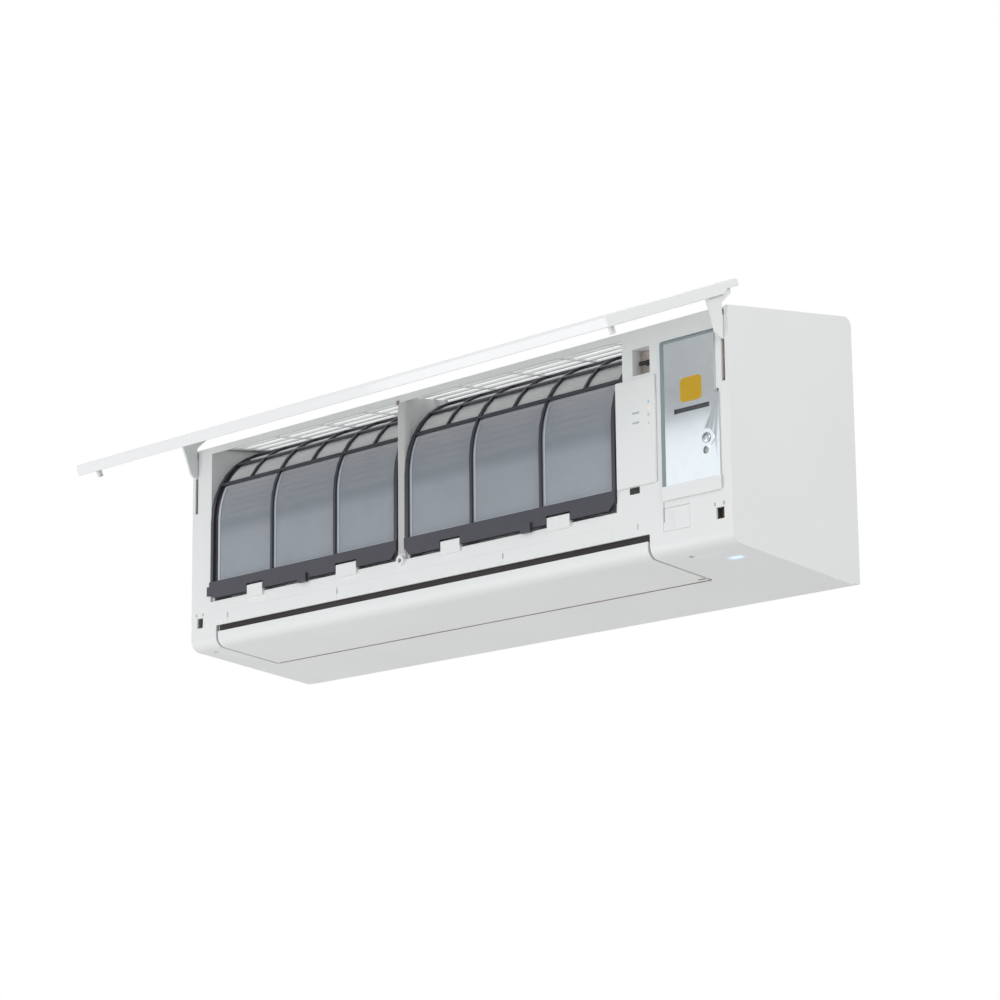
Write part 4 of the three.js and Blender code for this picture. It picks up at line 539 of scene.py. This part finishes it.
def cross_screw(name, seat, facing, radius, height, shank, reach, replaces=()):
    """A pan-head screw with a cross recess. Its head stands on its seat and faces a way."""
    head = [(0, height), (radius * 0.55, height * 0.94), (radius * 0.86, height * 0.66),
            (radius, height * 0.2), (radius, 0)]
    thread = [(shank, 0), (shank, 1 - reach), (shank * 0.3, -reach), (0, -reach)]
    bm = turned(head + thread, seat, facing)
    made = piece(name, bm, "casing", ZINC_PLATE, replaces)
    recess = bmesh.new()
    for angle in (0, math.pi / 2):
        wing = Matrix.Diagonal((radius * 1.1 * MM, radius * 0.24 * MM, height * 1.1 * MM, 1))
        lift = Matrix.Translation((0, 0, height * MM))
        bmesh.ops.create_cube(recess, size=1, matrix=Matrix.Rotation(angle, 4, "Z") @ lift @ wing)
    bmesh.ops.transform(recess, matrix=aimed(seat, facing), verts=recess.verts)
    return cut_by(made, recess)


# ---------------------------------------------------------------- casing and its covers


def laid_under(bm):
    """Slopes a level shape to lie along the casing's underside."""
    for vert in bm.verts:
        vert.co.z -= (vert.co.y - CASING_CORNER.y) * UNDERSIDE_FALL
    return bm


def casing_pieces():
    softened("front_casing", 0.7, CASING_WHITE)
    softened("intake_grille", 0.5, GRILLE_WHITE)
    softened("service_cover", 0.25, CASING_WHITE)
    softened("running_lamp_lens", 0.3, LAMP_BLUE)
    # A thin window around the lens, through which its light spreads.
    spill = bmesh.new()
    block(spill, (835, 38, -0.12), (862, 52.4, 0.3))
    opening = bmesh.new()
    block(opening, (840.9, 42.9, -1), (856.1, 47.6, 1))
    window = piece("lamp_spill", laid_under(spill), "casing", LAMP_SPILL)
    cut_by(window, laid_under(opening))
    softened("room_sensor", 0.3, RUBBER)
    for i, x in enumerate((24, 809)):
        cross_screw("casing_screw_%d_head" % (i + 1), (x, 21, 0.94), (0, 0, -1), 3.4, 2.4, 2, 18,
                    ["casing_screw_%d" % (i + 1)])
    # The bar between the filters has its own cap, with a clip at its top.
    blocks("middle_bar_cap", [((378.8, -0.7, 62), (389.2, 0.3, 238))], BAR_WHITE, 0.4)
    blocks("middle_bar_clip", [((376.6, -1.4, 236), (380.4, 0.5, 241))], TAUPE_AND_GAP_SHADE,
           0.4)
    # A shallow step along the sill, broken at the snap slits.
    breaks = (52, 69.6, 71.8, 270.7, 272.8, 547.6, 549.8, 716)
    steps = [((low, -0.45, 27.5), (high, 0.2, 41)) for low, high in zip(breaks[::2], breaks[1::2])]
    blocks("sill_step", steps, CASING_WHITE, 0.3)
    # The catch ring's blind bore, with its black foot.
    foot = [(0, 0.4), (2.2, 0.2), (2.7, -0.6), (2.7, -1.4), (0, -1.4)]
    piece("catch_ring_foot", turned(foot, (384, -0.6, 54), (0, -1, 0), 20), "casing", BLACK_PLASTIC)
    # A dark strip behind the front wall's lower edge, painted shade for the slit over the flap.
    blocks("outlet_slit_shade", [((49.5, 4.3, 18.6), (767.5, 6.2, 26.8))], SLIT_SHADE, 0.4)
    # A brown strip along the back edge of the outlet, seen in the gap behind the flap as painted shade
    # there, and the flap's end stop.
    seal = bmesh.new()
    block(seal, (51.5, 96.2, 0.1), (765.5, 97, 2.1))
    piece("outlet_gap_shade", laid_under(seal), "casing", TAUPE_AND_GAP_SHADE)
    stop = bmesh.new()
    block(stop, (755.5, 86, -0.2), (765.2, 89.4, 0.3))
    bevelled(piece("flap_end_stop", laid_under(stop), "flap", TAUPE_AND_GAP_SHADE), 0.15)
    # Two small flush grey marks over each latch hole, painted shade for small slots there, and a
    # spring behind each hole, whose brown is painted shade for the hole.
    slot_marks = []
    springs = []
    for x in (17, 868):
        slot_marks += [((x + side - 1, -0.35, 39.4), (x + side + 1, 0.2, 43.2)) for side in (-7, 5.5)]
        springs.append(((x - 4.4, 7.0, 26.5), (x + 4.4, 7.9, 36.5)))
    blocks("latch_slot_marks", slot_marks, GREY_PLASTIC)
    blocks("latch_springs", springs, LATCH_HOLE_SHADE)
    # Walls beside the panel arms' slots.
    blocks("slot_walls", [((4.2, 2.6, 170), (5.2, 15, 243)), ((873.3, 2.6, 170), (874.3, 15, 243))],
           SLOT_BROWN, 0.15)
    # The pocket's back plate is made paler as painted light in the recess.
    blocks("pocket_back", [((749.6, 12.8, 197.6), (773.4, 13.7, 225.4))], POCKET_PAINTED_LIGHT)


def display_pieces():
    softened("display_cover", 0.5, CASING_WHITE)
    softened("manual_button", 0.4, BLACK_PLASTIC)
    softened("display_board", 0.15, BOARD)
    bm = bmesh.new()
    block(bm, (767.8, 0.1, 136.6), (779.2, 7.6, 171.2))
    guide = piece("indicator_light_guide", bm, "casing", LENS_BODY, ["indicator_lenses"])
    bevelled(guide, 0.3)
    dome = [(0, 0.2), (0.7, 0.14), (1.25, -0.1), (1.5, -0.5), (1.5, -3.2), (0, -3.2)]
    for i, (z, finish) in enumerate(LED_TONES):
        bm = turned(dome, (LED_X, LED_FACE, z), (0, -1, 0), 20)
        piece("indicator_lens_%d" % (i + 1), bm, "casing", finish)
    # Two short printed marks beside the indicators, with no lettering.
    marks = [((750, LED_FACE - 0.08, z), (760, LED_FACE + 0.1, z + 2)) for z in (155, 144.4)]
    blocks("printed_marks", marks, INK, 0.03)


def panel_pieces():
    # The panel's down-facing faces take the grey back, partly as painted shade.
    softened("front_panel", 1.0, [PANEL_WHITE, PANEL_UNDERSIDE_PAINTED_SHADE], segments=3,
             paint=lambda place, normal: 1 if normal.z < -0.9 else 0)
    softened("panel_arm_left", 0.5, CASING_WHITE)
    softened("panel_arm_right", 0.5, CASING_WHITE)


def board_finish(place, normal):
    """The control board's own green, or the finish of the part of it that stands there."""
    if place.y > BOARD_FACE:
        return 0
    if place.x > CAPACITOR_LEFT and place.z > CAPACITOR_FOOT:
        return 1
    return 2


def cover_pieces():
    softened("electrical_cover", 0.3, ZINC)
    softened("electrical_box", 0.5, GREY_PLASTIC)
    softened("control_board", 0.2, [BOARD, CAPACITOR, RELAY], paint=board_finish)
    softened("terminal_block", 0.3, BLOCK)
    cross_screw("cover_screw_head", (854, -2.8, 112), (0, -1, 0), 5.5, 2.2, 2, 11.8, ["cover_screw"])
    # Grey-green strips along the cover's left and top edges, with a tail below, painted shade for the
    # gaps there; and the lip under it.
    strips = [
        ((790.2, -1.95, 60), (795.4, -1.5, 224.6)),
        ((795.4, -1.9, 221.8), (865.6, -1.5, 224.6)),
        ((789.8, -0.3, 34), (790.5, 0.2, 55.4)),
    ]
    blocks("cover_gap_shade_strips", strips, COVER_GAP_SHADE, 0.15)
    lip = [((789.6, -2.5, 55.5), (872.4, -1.7, 70.5)), ((790.4, -2.0, 57.2), (864.6, 1.9, 59.8))]
    blocks("cover_lip", lip, CASING_WHITE, 0.3)
    # A dark grey plate behind the cover's slot, as dark as the slot looks, so partly painted shade.
    blocks("slot_backing", [((806, 0.3, 141.5), (861, 1.0, 152.5))], FAN_PLASTIC)
    blocks("keyhole_backing", [((845.5, 0.3, 93), (858.5, 1.0, 106))], GREY_PLASTIC)
    bm = bmesh.new()
    block(bm, (818, -1.68, 155), (848, -1.55, 181))
    corners = [edge for edge in bm.edges if abs(edge.verts[0].co.y - edge.verts[1].co.y) > 0.05 * MM]
    bmesh.ops.bevel(bm, geom=corners, offset=5 * MM, segments=5, profile=0.5, affect="EDGES",
                    material=-1)
    piece("blank_sticker", bm, "casing", STICKER)


# ---------------------------------------------------------------- filters


def strand(bm, x, width, radius, depth, foot, turn, steps):
    """A strip up the filter's front and back over its curve: a small face, raised and then spun."""
    corners = ((x, radius), (x + width, radius), (x + width, radius - depth), (x, radius - depth))
    face = bm.faces.new([bm.verts.new(at(place, FILTER_CENTRE[0] - r, foot)) for place, r in corners])
    grown = bmesh.ops.extrude_face_region(bm, geom=[face])["geom"]
    verts = [g for g in grown if isinstance(g, bmesh.types.BMVert)]
    top = [g for g in grown if isinstance(g, bmesh.types.BMFace)]
    bmesh.ops.translate(bm, vec=(0, 0, (FILTER_CENTRE[1] - foot) * MM), verts=verts)
    bmesh.ops.spin(bm, geom=top, cent=at(0, *FILTER_CENTRE), axis=(1, 0, 0),
                   angle=-math.radians(turn), steps=steps)
    bmesh.ops.delete(bm, geom=top, context="FACES_ONLY")


def repeat(bm, count, step):
    """Copies everything so far along x, this many times in all."""
    geometry = list(bm.verts) + list(bm.edges) + list(bm.faces)
    for i in range(1, count):
        copy = bmesh.ops.duplicate(bm, geom=geometry)["geom"]
        verts = [g for g in copy if isinstance(g, bmesh.types.BMVert)]
        bmesh.ops.translate(bm, vec=(i * step * MM, 0, 0), verts=verts)


def filter_net(side):
    """A net of fine threads: warp threads up and over the curve, and weft threads across."""
    left, right = NET_SPANS[side]
    bm = bmesh.new()
    strand(bm, left, THREAD, NET_RADIUS, THREAD, NET_BOTTOM, NET_ARC, 16)
    repeat(bm, int((right - left - THREAD) / THREAD_PITCH) + 1, THREAD_PITCH)
    flat = int((FILTER_CENTRE[1] - NET_BOTTOM) / THREAD_PITCH)
    middle = NET_RADIUS - THREAD * 0.9
    half = THREAD / 2
    for i in range(flat):
        z = NET_BOTTOM + (i + 0.5) * THREAD_PITCH
        y = FILTER_CENTRE[0] - middle
        block(bm, (left, y - half, z - half), (right, y + half, z + half))
    pitch = math.degrees(THREAD_PITCH / NET_RADIUS)
    for i in range(int(NET_ARC / pitch)):
        verts = block(bm, (left, -half, -half), (right, half, half))
        angle = math.radians(i * pitch)
        y = FILTER_CENTRE[0] - middle * math.cos(angle)
        z = FILTER_CENTRE[1] + middle * math.sin(angle)
        bmesh.ops.rotate(bm, cent=at(0, 0, 0), matrix=Matrix.Rotation(-angle, 3, "X"), verts=verts)
        bmesh.ops.translate(bm, vec=Vector((0, y, z)) * MM, verts=verts)
    piece("filter_weave_" + side, bm, "filter_" + side, PAINTED_LIGHT_NET, ["filter_net_" + side])


def filter_hem(side):
    """The welded hem beside each upright and along the bar, up to the first cross rib."""
    bm = bmesh.new()
    spots = UPRIGHTS[side]
    for i in range(len(spots) - 1):
        low = spots[i] + UPRIGHT_HALF[i] + HEM_GAP
        if side == "left" and i == 0:
            low += EDGE_STRIP
        high = spots[i + 1] - UPRIGHT_HALF[i + 1] - HEM_GAP
        for x, width in ((low, HEM_RIGHT_OF_RIB), (high - HEM, HEM)):
            strand(bm, x, width, NET_RADIUS + 0.7, 0.6, HEM_FOOT, 27, 8)
        block(bm, (low + HEM_RIGHT_OF_RIB, 1.3, HEM_FOOT), (high - HEM, 1.9, HEM_FOOT + HEM))
    piece("filter_hem_" + side, bm, "filter_" + side, NET_HEM)


def filter_pieces():
    low, high = RIB_HEIGHTS
    for side in NET_SPANS:
        # Frame faces between the rib heights take the darker copy, as painted shade.
        softened("filter_frame_" + side, 0.45, [DARK_PLASTIC, RIB_PAINTED_SHADE],
                 paint=lambda place, normal: 1 if low < place.z < high else 0)
        filter_net(side)
        filter_hem(side)
    # The left filter's outer member is wider, with a flat strip beside its rib in the ribs'
    # painted-shade dark, which also stands in for the shade in the gap beside the casing.
    bm = bmesh.new()
    strand(bm, 42.8, EDGE_STRIP, NET_RADIUS + 1.0, 0.9, HEM_FOOT, 60, 12)
    piece("filter_edge_left", bm, "filter_left", RIB_PAINTED_SHADE)


# ---------------------------------------------------------------- heat exchanger and pipes


def tube_spots(slab):
    """Where the slab's tubes pass through it, as y and z, in pairs that a bend joins."""
    low, high, inner = (Vector(corner) for corner in SLABS[slab])
    rise = (high - low) / TUBE_PAIRS
    middles = [low + rise * (i + 0.5) for i in range(TUBE_PAIRS)]
    return [[middle + (inner - low) * depth for depth in TUBE_DEPTHS] for middle in middles]


def fin_stack(slab):
    """The slab's own outline as thin fins, on round tubes."""
    bm = copied(slab)
    left, right = (at(x, 0, 0).x for x in COIL_SPAN)
    bmesh.ops.translate(bm, vec=(-left, 0, 0), verts=bm.verts)
    bmesh.ops.scale(bm, vec=(FIN * MM / (right - left), 1, 1), verts=bm.verts)
    bmesh.ops.translate(bm, vec=(left, 0, 0), verts=bm.verts)
    repeat(bm, int((COIL_SPAN[1] - COIL_SPAN[0] - FIN) / FIN_PITCH) + 1, FIN_PITCH)
    fins = len(bm.faces)
    for pair in tube_spots(slab):
        for spot in pair:
            tube(bm, [Vector((x, *spot)) for x in COIL_SPAN], TUBE_RADIUS, 12)
    for face in list(bm.faces)[fins:]:
        face.material_index = 1
    piece(slab + "_fins", bm, body_of(slab), [FINS, COPPER], [slab])


def coil_end(node, face, outwards):
    """The end plate, with round return bends in place of the CAD's."""
    bm = copied(node)
    beyond = [v for v in bm.verts if (v.co.x - at(face, 0, 0).x) * outwards > 0.02 * MM]
    bmesh.ops.delete(bm, geom=beyond, context="VERTS")
    bmesh.ops.holes_fill(bm, edges=[edge for edge in bm.edges if edge.is_boundary])
    bmesh.ops.dissolve_limit(bm, angle_limit=FLAT, verts=bm.verts, edges=bm.edges)
    bevelled(piece(node + "_plate", bm, body_of(node), PLATE_ZINC, [node]), 0.2)
    bends = bmesh.new()
    for slab in SLABS:
        for i, (a, b) in enumerate(tube_spots(slab)):
            # The pipes start at the rear slab's middle pair, on the right.
            if outwards > 0 and slab == "coil_rear" and i == 1:
                continue
            near = face - 0.4 * outwards
            far = face + RETURN_REACH * outwards
            path = rounded([(near, *a), (far, *a), (far, *b), (near, *b)], RETURN_BEND)
            tube(bends, path, TUBE_RADIUS, 14)
    piece(node + "_bends", bends, body_of(node), COPPER)


def coil_pieces():
    for slab in SLABS:
        fin_stack(slab)
    coil_end("coil_end_left", 47.1, -1)
    coil_end("coil_end_right", 726.9, 1)
    pipes = (("gas_pipe", GAS_ROUTE, 4.8, 11), ("liquid_pipe", LIQUID_ROUTE, 3.2, 9))
    for node, route, radius, bend in pipes:
        bm = bmesh.new()
        tube(bm, rounded(route, bend), radius)
        piece(node + "_tube", bm, body_of(node), COPPER, [node])


# ---------------------------------------------------------------- inside


def inner_pieces():
    for node, width, finish, slot in (
        ("drain_pan", 0.8, FOAM, "foam"),
        ("drain_plug", 0.5, RUBBER, "black_rubber"),
        ("rear_chassis", 0.3, GREY_PLASTIC, "grey_plastic"),
        ("mounting_plate", 0.25, PLATE_ZINC, "zinc_steel"),
        ("motor_shaft", 0.2, ZINC_PLATE, "zinc_steel"),
        ("fan_motor", 1.2, MOTOR_RESIN, "dark_plastic"),
        ("motor_band", 0.4, GREY_PLASTIC, "grey_plastic"),
        ("bearing_rubber", 0.4, RUBBER, "black_rubber"),
        ("fan_bearing", 0.2, BRASS, "brass"),
        ("flap", 0.6, CASING_WHITE, "white_casing"),
        ("flap_bush", 0.3, DARK_PLASTIC, "dark_plastic"),
        ("flap_motor", 0.4, ZINC_PLATE, "zinc_steel"),
        ("vane_motor", 0.4, ZINC_PLATE, "zinc_steel"),
        ("vane_link", 0.3, DARK_PLASTIC, "dark_plastic"),
        ("vane_crank", 0.3, DARK_PLASTIC, "dark_plastic"),
        ("pipe_clamp", 0.5, GREY_PLASTIC, "grey_plastic"),
        ("gas_flare_nut", 0.3, BRASS, "brass"),
        ("liquid_flare_nut", 0.3, BRASS, "brass"),
        ("cross_flow_fan", 0, FAN_PLASTIC, "fan_plastic"),
    ):
        softened(node, width, finish)
    for i in range(8):
        softened("vane_%d" % (i + 1), 0.3, DARK_PLASTIC)


# ---------------------------------------------------------------- studio

CAMERA_PLACE = (2882.41, -2233.41, -603.96)
CAMERA_AZIMUTH = math.radians(46.3016)
CAMERA_ELEVATION = math.radians(-12.2470)
CAMERA_ROLL = math.radians(-0.6017)
SENSOR = 36  # mm wide
LENS = 108.976  # mm
LAMP_AIM = Vector((0, -0.1, 0))  # metres, a little in front of the casing's middle
WORLD_LIGHT = 0.565  # the sky's strength as it lights things; the camera and reflections see 1
FLOOR_LIGHT = 0.42  # the floor's own glow, seen by the camera and reflections but lighting nothing
FLOOR_DROP = 4000  # from the casing's corner down to the floor, clear of any view from below
FLOOR_RADIUS = 14  # metres


def camera():
    """The camera that took the photograph, as solved from the casing's edges."""
    data = bpy.data.cameras.new("camera")
    data.sensor_width = SENSOR
    data.lens = LENS
    data.clip_end = 40
    made = bpy.data.objects.new("camera", data)
    bpy.context.scene.collection.objects.link(made)
    level = math.cos(CAMERA_ELEVATION)
    back = Vector((math.sin(CAMERA_AZIMUTH) * level, -math.cos(CAMERA_AZIMUTH) * level,
                   math.sin(CAMERA_ELEVATION)))
    facing = back.to_track_quat("Z", "Y").to_matrix().to_4x4()
    roll = Matrix.Rotation(CAMERA_ROLL, 4, "Z")
    made.matrix_world = Matrix.Translation(at(*CAMERA_PLACE)) @ facing @ roll
    bpy.context.scene.camera = made


def lamp(name, place, size, power, tint="ffffff"):
    """A round soft lamp, in metres and watts, that faces the object."""
    data = bpy.data.lights.new(name, "AREA")
    data.color = colour(tint)[:3]
    data.shape = "DISK"
    data.size = size
    data.energy = power
    made = bpy.data.objects.new(name, data)
    bpy.context.scene.collection.objects.link(made)
    place = Vector(place)
    turn = (place - LAMP_AIM).to_track_quat("Z", "Y").to_matrix().to_4x4()
    made.matrix_world = Matrix.Translation(place) @ turn


def seen_as(tree, unseen, seen, socket):
    """Sets a strength that differs between rays that light the object and rays that see it."""
    ray = add(tree, "ShaderNodeLightPath")
    direct = add(tree, "ShaderNodeMath", {0: ray.outputs["Is Camera Ray"],
                 1: ray.outputs["Is Glossy Ray"]}, operation="MAXIMUM")
    looks = add(tree, "ShaderNodeMath", {0: direct.outputs[0], 1: ray.outputs["Is Transmission Ray"]},
                operation="MAXIMUM")
    level = add(tree, "ShaderNodeMapRange", {"Value": looks.outputs[0], "To Min": unseen,
                "To Max": seen})
    tree.links.new(level.outputs["Result"], socket)


def studio():
    world = bpy.data.worlds.new("studio")
    world.use_nodes = True
    bpy.context.scene.world = world
    tree = world.node_tree
    seen_as(tree, WORLD_LIGHT, 1.0, tree.nodes["Background"].inputs["Strength"])
    tree.nodes["Background"].inputs["Color"].default_value = colour("ffffff")

    lamp("soft_low_left", (-1.3, -2.8, -1.25), 2.4, 35)
    lamp("soft_front_left", (-1.3, -3.2, 0.06), 2.6, 4.3, "d9ebff")
    lamp("soft_right", (3.0, -1.2, 1.0), 2.2, 32)
    lamp("soft_above", (0.1, 0.5, 3.0), 2.4, 24)

    bm = bmesh.new()
    bmesh.ops.create_circle(bm, cap_ends=True, segments=96, radius=FLOOR_RADIUS,
                            matrix=Matrix.Translation((0, 0, CASING_CORNER.z - FLOOR_DROP * MM)))
    mesh = bpy.data.meshes.new("floor")
    bm.to_mesh(mesh)
    bm.free()
    floor = bpy.data.objects.new("floor", mesh)
    paint = moulded("pale_matt_paint", "ececeb", "e9e9e8", 0.8, grain=3)
    shader = paint.node_tree.nodes["Principled BSDF"]
    shader.inputs["Emission Color"].default_value = colour("ffffff")
    seen_as(paint.node_tree, 0.0, FLOOR_LIGHT, shader.inputs["Emission Strength"])
    mesh.materials.append(paint)
    bpy.context.scene.collection.objects.link(floor)

    bpy.context.scene.view_settings.view_transform = "Standard"


camera()
casing_pieces()
display_pieces()
panel_pieces()
cover_pieces()
filter_pieces()
coil_pieces()
inner_pieces()
studio()
